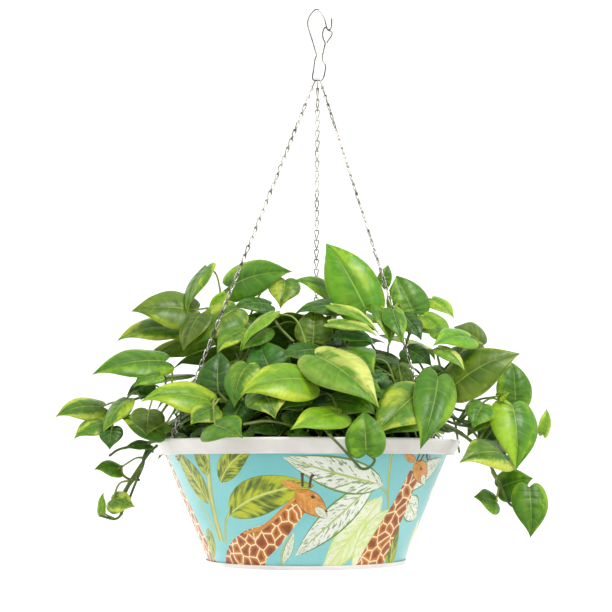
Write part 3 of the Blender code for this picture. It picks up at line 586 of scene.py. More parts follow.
def make_bands(enamel):
    """The rolled rim, and the band round the foot of the tub."""
    top, low = RIM_TOP_Z, RIM_TOP_Z - RIM_HEIGHT
    rim = [
        (RIM_TOP_R - 0.9, top), (RIM_TOP_R, top - 1.5), (RIM_TOP_R - 0.5, top - 3.0),
        (RIM_LOW_R + 0.5, low + 1.6), (RIM_LOW_R + 0.7, low + 0.7), (RIM_LOW_R, low),
        (RIM_LOW_R - RIM_SHEET, low), (RIM_TOP_R - RIM_SHEET - 0.6, top - RIM_SHEET - 0.5),
        (LIP_INNER_R, top - RIM_SHEET), (LIP_INNER_R, top - 0.2),
    ]
    foot_top = BASE_Z + BASE_BAND_HEIGHT
    inner_top, inner_low = tub_radius(foot_top) + FIT_GAP, tub_radius(BASE_Z) + FIT_GAP + 0.3
    foot = [
        (inner_top, foot_top), (inner_top + BASE_BAND_SHEET, foot_top),
        (inner_low + BASE_BAND_SHEET, BASE_Z), (inner_low, BASE_Z),
    ]
    bands = [("rim_ring", rim, 0.7, "rim_band"), ("base_ring", foot, 0.5, "base_band")]
    for name, profile, corner_r, replaced in bands:
        build = Build()
        ring(build, rounded(profile, corner_r))
        build.piece(name, [enamel], "white_enamel", [replaced])


def make_soil(mix, perlite):
    """A crumbly bed of mix with grains of perlite on it."""
    floor = BASE_Z + TUB_FLOOR + FIT_GAP
    inset = TUB_WALL + 2 * FIT_GAP
    reach = tub_radius(SOIL_TOP_Z - SOIL_FALL) - inset
    turns = [2 * pi * k / SOIL_COLUMNS for k in range(SOIL_COLUMNS)]
    rng = random.Random(11)
    points = [Vector((PLANTER_X, 0, SOIL_TOP_Z))]
    for i in range(1, SOIL_ROWS + 1):
        out = i / SOIL_ROWS
        fall = SOIL_FALL * max(0.0, out - (1 - SOIL_FALL_SHARE)) / SOIL_FALL_SHARE
        for turn in turns:
            crumb = rng.uniform(-1.3, 0.9) if i < SOIL_ROWS else 0.0
            points.append(turned(reach * out, turn, SOIL_TOP_Z - fall + crumb))
    low = len(points)
    points += [turned(tub_radius(floor) - inset - 1.6, turn, floor) for turn in turns]
    faces = [(0, 1 + k, 1 + (k + 1) % SOIL_COLUMNS) for k in range(SOIL_COLUMNS)]
    faces += [(a, d, c, b) for a, b, c, d in grid(SOIL_ROWS + 1, SOIL_COLUMNS, 1)]
    faces.append(tuple(range(low, len(points)))[::-1])
    build = Build()
    build.add(points, faces)
    kinds = [0] * len(faces)
    for _ in range(GRAINS):
        radius, turn = reach * 0.94 * sqrt(rng.random()), rng.uniform(0, 2 * pi)
        size = rng.uniform(0.9, 1.9)
        centre = turned(radius, turn, SOIL_TOP_Z + size * 0.3)
        grain = [centre + Vector(way) * size * rng.uniform(0.7, 1.15) for way in GRAIN_WAYS]
        sides = [(i, (i + 1) % 4, 4) for i in range(4)] + [((i + 1) % 4, i, 5) for i in range(4)]
        build.add(grain, sides)
        kinds += [1] * len(sides)
    build.piece("potting_mix_bed", [mix, perlite], "potting_mix", ["soil"], material_of=kinds)


# ---- The print: our own tropical pattern of leaves, sprigs and patched long-necked animals ----
# A place on the wrap is (round, up): round from the front at the wrap's mean radius, and up from its foot.

WRAP_R = 120.0
WRAP_HALF = pi * WRAP_R / 2  # a quarter turn: the pattern is drawn twice, on the front and on the back
WRAP_MARGIN = 1.0  # how far the print's shapes stay from its upper and lower edges
SEAM_MARGIN = 0.5  # and from its seam
CLOSE = 0.05  # points of an outline that are closer than this become one
WELD = 2e-6  # points of the tub that are closer than this become one, in metres
GROUND, OLIVE, PALE, GHOST, COAT, STEM, DARK, FAWN, PLAIN = range(9)

# Painted leaves are (kind, base, tip, width, bend) and bands (kind, places, widths). Later ones lie on top.
PATTERN = [
    (COAT, [(-140, -10), (-150, 36), (-158, 72), (-164, 110)], [34, 30, 24, 20]),
    (STEM, [(-104, 26), (-112, 52), (-124, 80)], [2.6, 2.4, 1.8]),
    (OLIVE, (-102, 58), (-128, 108), 25, -6),
    (OLIVE, (-116, 36), (-134, 6), 16, 4),
    (STEM, [(-100, 24), (-96, 60), (-82, 112)], [7.0, 6.2, 4.8]),
    (OLIVE, (-78, 78), (-40, 110), 20, 7),
    (OLIVE, (-92, 84), (-98, 114), 15, -4),
    (STEM, [(-94, 22), (-86, 40), (-76, 52)], [3.0, 2.8, 2.4]),
    (OLIVE, (-78, 48), (8, 76), 34, 13),
    (STEM, [(88, -10), (84, 30), (80, 62), (66, 76)], [2.4, 2.2, 2.0, 1.6]),
    (STEM, [(70, 118), (72, 92), (78, 64)], [2.6, 2.4, 2.2]),
    (GHOST, (72, 66), (16, -8), 34, 5),
    (GHOST, (84, 54), (56, -12), 30, -5),
    (PALE, (60, 78), (-12, 12), 27, 4),
    (PALE, (70, 76), (-18, 101), 31, 4),
    (COAT, [(-76, -30), (-74, -4), (-58, 18), (-30, 34), (-2, 62)], [80, 62, 36, 22, 15]),
    (FAWN, [(-66, 32), (-39, 40), (-8, 66)], [2.4, 3.6, 2.8]),
    (FAWN, (-10, 70), (20, 46), 20, 3),
    (FAWN, (-4, 74), (-22, 80), 8, 1),
    (PALE, (8, 56), (20, 46), 8, 1),
    (DARK, [(3, 74), (4, 82), (6, 86)], [2.2, 2.2, 3.2]),
    (DARK, [(-3, 75), (-3, 83), (-3, 87)], [2.2, 2.2, 3.2]),
    (DARK, (4, 66), (8.4, 65), 3.0, 0.3),
    (DARK, (17, 53.5), (20, 52.5), 1.8, 0.2),
    (STEM, [(-28, -6), (-26, 14), (-14, 32)], [2.2, 2.0, 1.4]),
    (PALE, (-26, 6), (-12, 34), 9, -3),
    (PALE, (98, 72), (148, 100), 24, 4),
    (PALE, (104, 64), (138, 44), 24, -3),
    (OLIVE, (122, -10), (92, 62), 19, 7),
    (COAT, [(72, -22), (86, 20), (98, 56), (104, 88)], [48, 34, 23, 16]),
    (FAWN, (98, 96), (128, 76), 18, 3),
    (FAWN, (100, 98), (84, 104), 7, 1),
    (PALE, (116, 84), (128, 76), 7, 1),
    (DARK, [(106, 97), (108, 104), (109, 108)], [2.0, 2.0, 2.8]),
    (DARK, [(101, 98), (102, 105), (102, 109)], [2.0, 2.0, 2.8]),
    (DARK, (109, 91), (113, 90), 2.8, 0.3),
    (GHOST, (176, 4), (150, 44), 22, 4),
    (PALE, (182, 100), (156, 62), 22, 4),
]


def left_of(way):
    """The direction to the left of this one on the wrap."""
    return Vector((-way.y, way.x))


def leaf_shape(base, tip, wide, bend, parts=11):
    """(outline, midrib) of a painted leaf from base to tip, bowed sideways by bend."""
    base, tip = Vector(base), Vector(tip)
    middle = base.lerp(tip, 0.5) + left_of(tip - base).normalized() * bend
    midrib, left, right = [], [], []
    for i in range(parts + 1):
        t = i / parts
        place = base * (1 - t) ** 2 + middle * 2 * t * (1 - t) + tip * t**2
        ahead = ((middle - base) * (1 - t) + (tip - middle) * t).normalized()
        half = wide / 2 * sin(pi * t**0.8) ** 0.85 if 0 < i < parts else 0.0
        midrib.append((place, half))
        if half:
            left.append(place + left_of(ahead) * half)
            right.append(place - left_of(ahead) * half)
    return [base] + left + [tip] + right[::-1], midrib


def band_shape(places, widths):
    """(outline, midline) of a band of changing width along these places."""
    path = smooth_path([Vector(place) for place in places], 5)
    halves = [width / 2 for width in smooth_path(widths, 5)]
    sides = [left_of(heading(path, i)) * half for i, half in enumerate(halves)]
    left = [place + side for place, side in zip(path, sides)]
    right = [place - side for place, side in zip(path, sides)]
    return left + right[::-1], list(zip(path, halves))


def print_shapes(tall):
    """Every shape of the print as (kind, outline, midline), kept inside the wrap's upper and lower edges."""
    shapes = []
    first, last = -WRAP_HALF + SEAM_MARGIN, 3 * WRAP_HALF - SEAM_MARGIN
    for shift in (Vector((0, 0)), Vector((2 * WRAP_HALF, 0))):
        for kind, *rest in PATTERN:
            outline, middle = band_shape(*rest) if isinstance(rest[0], list) else leaf_shape(*rest)
            outline = [Vector((p.x, min(max(p.y, WRAP_MARGIN), tall - WRAP_MARGIN))) + shift for p in outline]
            outline = [Vector((min(max(p.x, first), last), p.y)) for p in outline]
            trimmed = [p for p, q in zip(outline, outline[1:] + outline[:1]) if (p - q).length > CLOSE]
            shapes.append((kind, trimmed, [(place + shift, half) for place, half in middle]))
    return shapes


def shape_at(place, shapes, boxes):
    """The number of the uppermost shape that covers this place, counted from 1, or 0 for the ground."""
    for number in range(len(shapes), 0, -1):
        low_x, low_y, high_x, high_y = boxes[number - 1]
        if not (low_x < place.x < high_x and low_y < place.y < high_y):
            continue
        outline = shapes[number - 1][1]
        turns = 0
        for p, q in zip(outline, outline[1:] + outline[:1]):
            side = (q.x - p.x) * (place.y - p.y) - (place.x - p.x) * (q.y - p.y)
            if p.y <= place.y < q.y and side > 0:
                turns += 1
            elif q.y <= place.y < p.y and side < 0:
                turns -= 1
        if turns:
            return number
    return 0


def on_print(place, kind, middle):
    """A point's own coordinates on its shape: along and across a leaf, or plain millimetres on a coat."""
    if kind in (COAT, GROUND):
        return place.x, place.y
    best = None
    for i, ((a, half_a), (b, half_b)) in enumerate(zip(middle, middle[1:])):
        run = b - a
        t = max(0.0, min(1.0, (place - a).dot(run) / run.length_squared))
        gap = place - a.lerp(b, t)
        if best is None or gap.length < best[0]:
            half = max(half_a + (half_b - half_a) * t, 0.6)
            sign = 1 if run.x * gap.y - run.y * gap.x > 0 else -1
            best = (gap.length, (i + t) / (len(middle) - 1), sign * gap.length / half)
    return best[1], max(-1.2, min(1.2, best[2]))


def make_tub(finishes):
    """The tub: an outer wall cut along the outlines of its print, an inner wall and a floor."""
    low_z, high_z = BASE_Z + 1.0, RIM_TOP_Z - RIM_SHEET - FIT_GAP - 0.4
    tall = high_z - low_z
    shapes = print_shapes(tall)
    boxes = []
    for _, outline, _ in shapes:
        across, heights = [p.x for p in outline], [p.y for p in outline]
        boxes.append((min(across), min(heights), max(across), max(heights)))
    places, edges = [], []
    for i in range(COLUMNS + 1):
        x = -WRAP_HALF + 4 * WRAP_HALF / COLUMNS * i
        places += [Vector((x, 0)), Vector((x, tall))]
        edges.append((2 * i, 2 * i + 1))
    for _, outline, middle in shapes:
        first, count = len(places), len(outline)
        edges += [(first + k, first + (k + 1) % count) for k in range(count)]
        spine = [p for p, _ in middle if WRAP_MARGIN < p.y < tall - WRAP_MARGIN]
        spine = [p for p in spine if -WRAP_HALF < p.x < 3 * WRAP_HALF]
        edges += [(first + count + k, first + count + k + 1) for k in range(len(spine) - 1)]
        places += outline + spine
    flat, _, triangles, *_ = delaunay_2d_cdt(places, edges, [], 0, 1e-5, False)
    build, kinds = Build(), []
    for triangle in triangles:
        centre = sum((flat[i] for i in triangle), Vector((0, 0))) / 3
        top = shape_at(centre, shapes, boxes)
        kind, _, middle = shapes[top - 1] if top else (GROUND, None, None)
        corners, prints = [], []
        for place in (flat[i] for i in triangle):
            z = low_z + place.y
            corners.append(turned(tub_radius(z), place.x / WRAP_R - pi / 2, z))
            prints.append((*on_print(place, kind, middle), top * 1.7))
        build.add(corners, [(0, 1, 2)], print=prints)
        kinds.append(kind)
    floor = BASE_Z + TUB_FLOOR
    inner_r = tub_radius(floor) - TUB_WALL
    outside = [
        (tub_radius(low_z), low_z), (TUB_LOW_R - 0.4, BASE_Z + 0.3), (TUB_LOW_R - 1.2, BASE_Z),
        (0.01, BASE_Z),
    ]
    inside = [
        (0.01, floor), (inner_r - 1.2, floor), (inner_r, floor + 1.2),
        (TUB_HIGH_R - TUB_WALL, high_z), (TUB_HIGH_R - 0.4, high_z + 0.3), (tub_radius(high_z), high_z),
    ]
    for line in (outside, inside):
        for i in range(COLUMNS):
            here, there = (2 * pi * k / COLUMNS - pi for k in (i, i + 1))
            for (r, z), (next_r, next_z) in zip(line, line[1:]):
                corners = [turned(r, here, z), turned(next_r, here, next_z)]
                corners += [turned(next_r, there, next_z), turned(r, there, z)]
                build.add(corners, [(0, 1, 2, 3)], print=(0.0, 0.0, 0.0))
                kinds.append(PLAIN)
    tub = build.piece("tub_printed", finishes, "printed_tub", ["planter_shell"], material_of=kinds)
    join_corners(tub.data)


def join_corners(mesh):
    """Keeps each face's own print coordinates on its corners, and welds the points that lie together."""
    rows = [tuple(entry.vector) for entry in mesh.attributes["print"].data]
    mesh.attributes.remove(mesh.attributes["print"])
    layer = mesh.attributes.new("print", "FLOAT_VECTOR", "CORNER")
    layer.data.foreach_set("vector", [number for loop in mesh.loops for number in rows[loop.vertex_index]])
    work = bmesh.new()
    work.from_mesh(mesh)
    bmesh.ops.remove_doubles(work, verts=work.verts, dist=WELD)
    bmesh.ops.recalc_face_normals(work, faces=work.faces)
    work.to_mesh(mesh)
    work.free()
    mesh.set_sharp_from_angle(angle=radians(35))


# ---- Plants: laid out as in the CAD ----

# Each vine: the places along its stem, as (across, up, depth) as seen from the eye.
STEMS = {
    "vine_left_upper": [(-45, -12, -10), (-60, 50, -15), (-75, 105, -10), (-88, 138, -2)],
    "vine_left_outer": [(-85, -12, -25), (-118, 28, -32), (-160, 40, -42), (-196, 26, -42)],
    "vine_left_trailing": [
        (-98, -12, -45), (-128, 8, -58), (-153, -2, -66), (-164, -30, -62),
        (-178, -53, -54), (-181, -72, -50), (-188, -80, -48), (-203, -77, -45),
    ],
    "vine_front_left": [(-50, -12, -62), (-60, 14, -88), (-72, 32, -98), (-93, 38, -108)],
    "vine_front_middle": [(-8, -12, -60), (-4, 25, -84), (4, 55, -92), (6, 84, -82)],
    "vine_front_right": [(46, -12, -62), (68, 24, -88), (92, 46, -92), (116, 58, -92)],
    "vine_top_middle": [(22, -12, -20), (32, 55, -28), (44, 102, -38), (56, 130, -48)],
    "vine_top_right": [(66, -12, -8), (88, 55, -18), (102, 98, -24), (112, 126, -22)],
    "vine_right_outer": [(88, -12, -22), (122, 42, -42), (146, 76, -44), (168, 95, -34)],
    "vine_right_long": [(104, -12, -40), (132, 20, -58), (160, 12, -66), (186, -22, -58)],
    "vine_right_trailing": [
        (96, -12, -52), (128, 14, -74), (162, -2, -72), (184, -30, -58),
        (197, -58, -48), (204, -67, -48), (219, -66, -50),
    ],
}

# Bare stems and stalks that show in the photograph, in the same way.
LOOSE_STEMS = {
    "vine_front_right": [
        [(10, 18, -140), (24, 2, -158), (38, -12.6, -166), (50, -26, -168), (56, -31, -168),
         (63.6, -29, -168), (68, -22, -168), (61, -16, -168)],
    ],
    "vine_front_middle": [[(-62, 13, -128), (-44, 16, -126), (-28, 15, -124), (-12, 11, -118)]],
    "vine_top_middle": [[(-34, 126, -60), (-28, 112, -66), (-13, 96, -72)]],
    "vine_right_long": [
        [(140, 34, -60), (150, 28, -66), (160, 26, -68)],
        [(139, 22, -62), (152, 18, -68), (164, 15, -68)],
        [(136, 18, -62), (150, 13, -70), (166, 10, -68)],
    ],
    "vine_right_trailing": [
        [(135, 12, -66), (154, 4, -72), (172, -10, -66), (184, -24, -58)],
        [(196, -56, -50), (199, -62, -50), (203, -67, -50), (211, -69, -50), (220, -67, -50)],
        [(204, -67, -50), (210, -72, -52), (217, -77, -52)],
    ],
    "vine_left_trailing": [
        [(-148, -8, -70), (-156, -16, -68), (-170, -36, -62), (-180, -53, -56)],
        [(-154, -9, -66), (-160, -20, -62), (-162, -29, -60), (-170, -48, -58), (-175, -62, -56)],
        [(-150, -4, -70), (-170, -8, -72), (-186, -12, -70), (-195, -18, -68)],
        [(-183, -28, -58), (-182, -36, -58), (-175, -41, -60), (-165, -42, -60)],
    ],
}

# Each leaf, under its vine: where its stalk meets it and where its tip is as (across, up, depth), its width,
# then the way its upper side faces as (turn to the right, lift) in degrees, and its tone.
LEAVES = {
    "vine_left_upper": [
        (-111, 127, -20, -176, 127, -38, 40, -10, 28, "olive"),
        (-100, 170, -4, -119, 124, -22, 30, -48, 20, "edge"),
        (-78, 151, 12, -14, 167, 2, 38, 8, 22, "mid"),
        (-71, 130, -42, -113, 94, -62, 36, -5, 30, "streak"),
        (-36, 133, -20, -74, 129, -34, 22, 0, 45, "dark"),
        (-21, 159, -2, -26, 131, -20, 28, 0, 25, "streak"),
        (-128, 109, -10, -190, 97, -30, 30, -8, 40, "streak"),
        (-106, 124, -46, -123, 86, -62, 27, -30, 15, "brown"),
        (-82, 144, -22, -97, 122, -30, 13, -20, 25, "lime"),
        (-63, 108, -62, -90, 84, -78, 20, -10, 35, "edge"),
        (-40, 109, -66, -67, 86, -84, 22, -5, 35, "mid"),
    ],
    "vine_left_outer": [
        (-141, 76, -52, -214, 64, -78, 34, -8, 32, "mid"),
        (-146, 62, -66, -172, 50, -76, 17, 0, 40, "mid"),
        (-202, 30, -34, -250, 22, -52, 30, -12, 38, "streak"),
        (-200, 15, -52, -231, 0, -66, 22, -8, 38, "streak"),
        (-180, 38, -62, -202, 5, -78, 24, -30, 30, "edge"),
        (-193, 10, -74, -195, -12, -84, 19, 0, 20, "dark"),
        (-155, 53, -34, -179, 42, -44, 19, 0, 35, "dark"),
        (-157, 27, -92, -159, 2, -106, 27, 10, 20, "brown"),
        (-142, 4, -86, -185, 20, -72, 22, -10, 30, "edge"),
    ],
    "vine_left_trailing": [
        (-155, -7, -74, -181, -11, -82, 11, 0, 40, "dark"),
        (-184, -32, -54, -210, -31, -66, 18, -10, 35, "mid"),
        (-191, -61, -52, -168, -67, -62, 21, 10, 20, "patch"),
        (-203, -76, -45, -201, -54, -42, 10, -40, 10, "lime"),
    ],
    "vine_front_left": [
        (-94, 36, -110, -165, 39, -132, 32, -6, 38, "lime"),
        (-88, 43, -98, -86, 86, -84, 33, 0, 15, "dark"),
        (-59, 72, -104, -72, 30, -120, 27, -15, 20, "edge"),
        (-92, 12, -146, -63, 0, -176, 34, 0, 42, "mid"),
        (-92, 29, -122, -115, 13, -138, 23, 0, 35, "streak"),
        (-64, 34, -100, -78, 4, -114, 23, 0, 25, "dark"),
        (-31, 12, -118, -60, 5, -130, 17, 0, 40, "dark"),
    ],
    "vine_front_middle": [
        (4, 57, -124, -65, 45, -152, 38, -4, 30, "lime"),
        (-43, 47, -134, -31, 20, -152, 33, 4, 25, "patch"),
        (-33, 62, -92, -48, 97, -76, 36, -6, 10, "teal"),
        (13, 88, -90, -26, 81, -108, 24, 0, 40, "dark"),
        (7, 96, -70, 8, 129, -58, 31, 0, 12, "olive"),
        (-33, 125, -74, -65, 91, -98, 17, -30, 35, "lime"),
        (-6, 37, -116, -27, 28, -128, 17, 0, 35, "dark"),
        (35, 24, -134, -15, 8, -166, 30, -4, 40, "lime"),
        (9, 82, -112, 73, 31, -154, 44, 6, 32, "cream"),
    ],
    "vine_front_right": [
        (21, 38, -130, 72, 24, -158, 31, 5, 36, "mid"),
        (60, -16, -168, 58, 27, -156, 30, 0, 8, "mid"),
        (115, 46, -108, 67, 2, -150, 42, -4, 32, "streak"),
        (131, 60, -98, 113, -11, -138, 34, 10, 28, "mid"),
        (95, 73, -88, 122, 32, -108, 16, 15, 30, "olive"),
        (139, 66, -74, 112, 45, -90, 24, 0, 35, "dark"),
        (64, 80, -82, 46, 68, -92, 16, 0, 35, "lime"),
        (77, 64, -96, 61, 54, -104, 14, 0, 35, "teal"),
        (109, 27, -92, 76, 3, -122, 29, 0, 30, "mid"),
    ],
    "vine_top_middle": [
        (61, 127, -60, 20, 198, -40, 44, 6, 12, "bright"),
        (77, 152, -20, 83, 174, -14, 13, 20, 10, "mid"),
        (34, 140, -20, -13, 159, -36, 23, 0, 42, "mid"),
        (42, 135, -14, 36, 162, -8, 18, 0, 10, "dark"),
        (40, 132, -48, -11, 126, -68, 25, -5, 45, "dark"),
        (24, 115, -84, 72, 102, -100, 16, 5, 48, "cream"),
        (31, 104, -68, 70, 94, -82, 18, 5, 45, "teal"),
        (27, 132, -74, 74, 104, -92, 14, 15, 45, "cream"),
        (74, 130, -68, 84, 93, -88, 20, 25, 22, "edge"),
    ],
    "vine_top_right": [
        (86, 127, -64, 96, 95, -82, 20, 15, 25, "mid"),
        (109, 124, -30, 91, 163, -20, 37, 8, 12, "mid"),
        (107, 127, -8, 88, 138, -14, 19, 0, 30, "dark"),
        (127, 139, -4, 149, 120, -18, 20, 20, 40, "lime"),
        (98, 122, -44, 116, 97, -58, 21, 15, 30, "dark"),
        (118, 121, -34, 146, 97, -52, 26, 15, 32, "lime"),
        (130, 108, -60, 148, 93, -70, 18, 15, 35, "mid"),
    ],
    "vine_right_outer": [
        (178, 92, -20, 149, 111, -32, 32, 10, 25, "olive"),
        (163, 98, -46, 126, 91, -72, 27, -5, 38, "bright"),
        (133, 89, -80, 159, 67, -92, 15, 15, 40, "cream"),
        (153, 92, -28, 171, 79, -38, 17, 20, 35, "mid"),
        (101, 88, -48, 126, 72, -62, 24, 5, 30, "dark"),
    ],
    "vine_right_long": [
        (146, 50, -68, 215, 84, -62, 38, 10, 28, "olive"),
        (209, 34, -30, 207, 76, -18, 31, 15, 8, "mid"),
        (206, 32, -58, 208, -33, -76, 40, 18, 18, "half"),
        (236, 3, -20, 240, 29, -12, 13, 35, 15, "lime"),
        (177, 33, -70, 166, 9, -88, 24, 0, 30, "mid"),
        (181, 29, -48, 160, 1, -62, 20, 0, 35, "mid"),
        (192, 12, -34, 172, -10, -48, 26, 5, 30, "dark"),
        (197, -17, -58, 152, -23, -92, 34, -5, 32, "patch"),
        (191, 40, -60, 203, 45, -64, 10, 10, 30, "lime"),
    ],
    "vine_right_trailing": [
        (191, -50, -40, 225, -40, -48, 29, 10, 28, "mid"),
        (221, -49, -54, 222, -98, -62, 30, 8, 12, "mid"),
        (189, -64, -50, 166, -58, -66, 23, -5, 30, "mid"),
    ],
}

# Tiers of leaves: how many, the radius and height of their bases and of their tips from the planter's axis,
# the first and last bearing from +X in degrees, and their tone.
REAR_TIERS = [
    (6, (40, 116), (98, 106), (8, 172), "mid"),
    (7, (84, 98), (148, 76), (14, 166), "streak"),
    (8, (124, 66), (190, 40), (20, 160), "mid"),
    (7, (146, 28), (202, -10), (26, 154), "olive"),
    (4, (178, -16), (190, -78), (56, 124), "lime"),
]
INNER_TIERS = [  # the heart of the clump, where darker leaves close the gaps
    (9, (26, 84), (72, 96), (0, 320), "dark"),
    (8, (52, 50), (104, 58), (20, 335), "dark"),
    (9, (80, 22), (136, 24), (5, 325), "dark"),
]
FILL_TIERS = [  # leaves that only fill the look of the heart, and are not in the CAD
    (15, (56, 74), (112, 62), (0, 336), "mid"),
    (15, (68, 48), (126, 30), (10, 346), "dark"),
    (15, (84, 18), (128, 2), (0, 336), "mid"),
    (11, (28, 94), (80, 114), (8, 338), "mid"),
    (12, (60, 34), (108, 14), (4, 340), "dark"),
    (24, (98, 26), (130, 4), (0, 345), "dark"),
    (24, (76, 22), (106, -2), (8, 353), "mid"),
    (18, (44, 40), (80, 18), (0, 340), "dark"),
    (20, (108, 44), (140, 28), (0, 342), "mid"),
    (14, (30, 14), (62, 2), (0, 336), "dark"),
    (30, (112, 16), (134, -1), (4, 350), "dark"),
    (22, (84, 8), (110, 4), (0, 345), "dark"),
    (26, (58, 4), (86, -3), (3, 348), "dark"),
    (40, (118, 5), (136, 0), (2, 351), "mid"),
]
ROW_OFFSET = 0.3  # how far every second tier is set round, as a share of its spacing
BASE_SWAY = (9, 8)  # how far leaves of a tier differ in radius and height at the base
TIP_SWAY = (10, 9)
TIP_TURN = 9  # and in bearing at the tip, in degrees
TIER_LIFT = (34, 10)  # their upper sides' lift, and how far it differs, in degrees
TIER_WIDTH = (0.6, 0.05)  # their width as a share of their length, and how far it differs

# The vines that carry the tiers, each at its bearing, and the (radius, height) of places along their stems
REAR_VINES = {
    "vine_rear_right": 24, "vine_rear_right_mid": 57, "vine_rear_middle": 90,
    "vine_rear_left_mid": 123, "vine_rear_left": 156,
}
INNER_VINES = {"vine_inner_right": 0, "vine_inner_rear": 110, "vine_inner_left": 200, "vine_inner_front": 270}
REAR_STEM = [(48, -12), (92, 46), (136, 52), (168, 24), (176, -14)]
INNER_STEM = [(22, -12), (30, 30), (36, 62), (40, 84)]

# The simple sheet that stands for a leaf while it is placed: down one side, how far along the midrib, and the
# half-width there as a share of the widest.
LEAF_OUTLINE = [(-0.09, 0.45), (0.22, 1.0), (0.68, 0.56)]
MIDRIB_STOPS = [0.0, 0.22, 0.68, 1.0]
LEAF_ARCH = 0.09  # its rise as a share of its length
SHIFTS = [0, 5, -5, 10, -10, 15, -15, 20, -20, 26, -26]  # tried in turn to find a leaf's clear place


def seen(across, up, depth):
    """The place at this depth that looks (across, up) from the front, for an eye at EYE_DISTANCE."""
    near = (EYE_DISTANCE + depth) / EYE_DISTANCE
    rise = (FRONT_EDGE_Z + up - EYE_Z) * near
    return Vector((PLANTER_X + across * near, depth, EYE_Z + rise))


def around(radius, up, bearing):
    """The place at this radius and height from the planter's axis, at a bearing from +X in degrees."""
    return turned(radius, radians(bearing), FRONT_EDGE_Z + up)


def facing(turn, lift):
    """The direction that an upper side faces: turned from the front to the right, then lifted."""
    turn, lift = radians(turn), radians(lift)
    return Vector((sin(turn) * cos(lift), -cos(turn) * cos(lift), sin(lift)))


def ring_leaves(tiers, vines):
    """The leaves of these tiers, spread evenly in bearing with a small regular variation."""
    leaves = []
    for row, (count, base, tip, span, tone) in enumerate(tiers):
        offset = ROW_OFFSET * (row % 2)
        for i in range(count):
            sway = sin(2.4 * i + 1.7 * row)
            lean = cos(3.1 * i + 0.9 * row)
            bearing = span[0] + (span[1] - span[0]) * (i + offset) / (count - 1 + offset)
            start = around(base[0] + BASE_SWAY[0] * sway, base[1] + BASE_SWAY[1] * lean, bearing)
            end = around(tip[0] + TIP_SWAY[0] * lean, tip[1] + TIP_SWAY[1] * sway, bearing + TIP_TURN * lean)
            width = (TIER_WIDTH[0] + TIER_WIDTH[1] * sway) * (end - start).length
            face = (bearing + 90, TIER_LIFT[0] + TIER_LIFT[1] * sway)
            vine = min(vines, key=lambda name: abs((vines[name] - bearing + 180) % 360 - 180))
            way = Vector((end.x - PLANTER_X, end.y, 0)).normalized()
            leaves.append((vine, start, end, width, face, tone, way))
    return leaves


def all_leaves():
    """Every leaf as (vine, base, tip, width, facing, tone, the way in which it may be moved clear)."""
    leaves = []
    for vine, rows in LEAVES.items():
        for *places, width, turn, lift, tone in rows:
            base, tip = seen(*places[:3]), seen(*places[3:])
            leaves.append((vine, base, tip, width, (turn, lift), tone, Vector((0, 1, 0))))
    leaves += ring_leaves(REAR_TIERS, REAR_VINES)
    return leaves + ring_leaves(INNER_TIERS, INNER_VINES) + ring_leaves(FILL_TIERS, INNER_VINES)


def all_stems():
    """Every vine's stem as a list of places, from the soil outward."""
    stems = {vine: [seen(*place) for place in places] for vine, places in STEMS.items()}
    for vines, stem in ((REAR_VINES, REAR_STEM), (INNER_VINES, INNER_STEM)):
        for vine, bearing in vines.items():
            stems[vine] = [around(radius, up, bearing) for radius, up in stem]
    for places in stems.values():
        places[0].z = SOIL_TOP_Z + STEM_FOOT
    return stems


def leaf_axes(base, tip, face):
    """The leaf's own directions: along its midrib, across it, and out of its upper side."""
    along = (tip - base).normalized()
    out = squared(facing(*face), along)
    return along, out.cross(along), out


def leaf_sheet(base, tip, width, face):
    """(points, faces) of a heart-shaped, pointed leaf, arched along its midrib and falling at its margins."""
    along, across, out = leaf_axes(base, tip, face)
    length = (tip - base).length

    def place(t, side):
        arch = LEAF_ARCH * length * (1 - (2 * t - 1) ** 2)
        fall = 0.16 * width * side**2
        return base + along * t * length + across * side * width / 2 + out * (arch - fall)

    points = [place(t, 0) for t in MIDRIB_STOPS]
    for side in (1, -1):
        points += [place(t, side * share) for t, share in LEAF_OUTLINE]
    faces = []
    for first in (4, 7):
        rows = [(0, first, first + 1, 1), (1, first + 1, first + 2, 2), (2, first + 2, 3)]
        faces += [row if first == 7 else row[::-1] for row in rows]
    return points, faces


def along_stem(stem, share):
    """The place at this share of a stem's parts."""
    at = max(0.0, min(share, 1.0)) * (len(stem) - 1)
    first = min(int(at), len(stem) - 2)
    return stem[first].lerp(stem[first + 1], at - first)


def nearest_share(stem, place):
    """The share of the stem that comes closest to a place."""
    return min((k / 40 for k in range(6, 41)), key=lambda share: (along_stem(stem, share) - place).length)


def stalk_path(stem, base, tip, face, share):
    """A leaf stalk from this share of the stem, rising and then running into the leaf along its midrib."""
    at = along_stem(stem, share)
    along, _, out = leaf_axes(base, tip, face)
    reach = (base - at).length
    first = at + Vector((0, 0, 0.45 * reach))
    last = base - along * 0.3 * reach + Vector((0, 0, 0.08 * reach))
    points = []
    for t in (0, 0.5):
        left = 1 - t
        points.append(at * left**3 + first * 3 * t * left**2 + last * 3 * t**2 * left + base * t**3)
    return points + [base + along * 2.4 + out * 0.8]


def closed_proxy(points, faces, out, thick):
    """The sheet with thickness, closed all round, for clearance tests."""
    half = out * thick / 2
    count = len(points)
    solid = [point + half for point in points] + [point - half for point in points]
    edges = [edge for face in faces for edge in zip(face, face[1:] + face[:1])]
    rim = [(a, b, b + count, a + count) for a, b in edges if (b, a) not in edges]
    lower = [tuple(i + count for i in face[::-1]) for face in faces]
    return solid, faces + lower + rim


def tube_proxy(points, radius):
    """A four-sided tube round these points, for clearance tests."""
    solid = []
    for i, point in enumerate(points):
        ahead = heading(points, i)
        side = ahead.orthogonal().normalized()
        other = ahead.cross(side)
        solid += [point + way * radius for way in (side, other, -side, -other)]
    return solid, grid(len(points), 4)


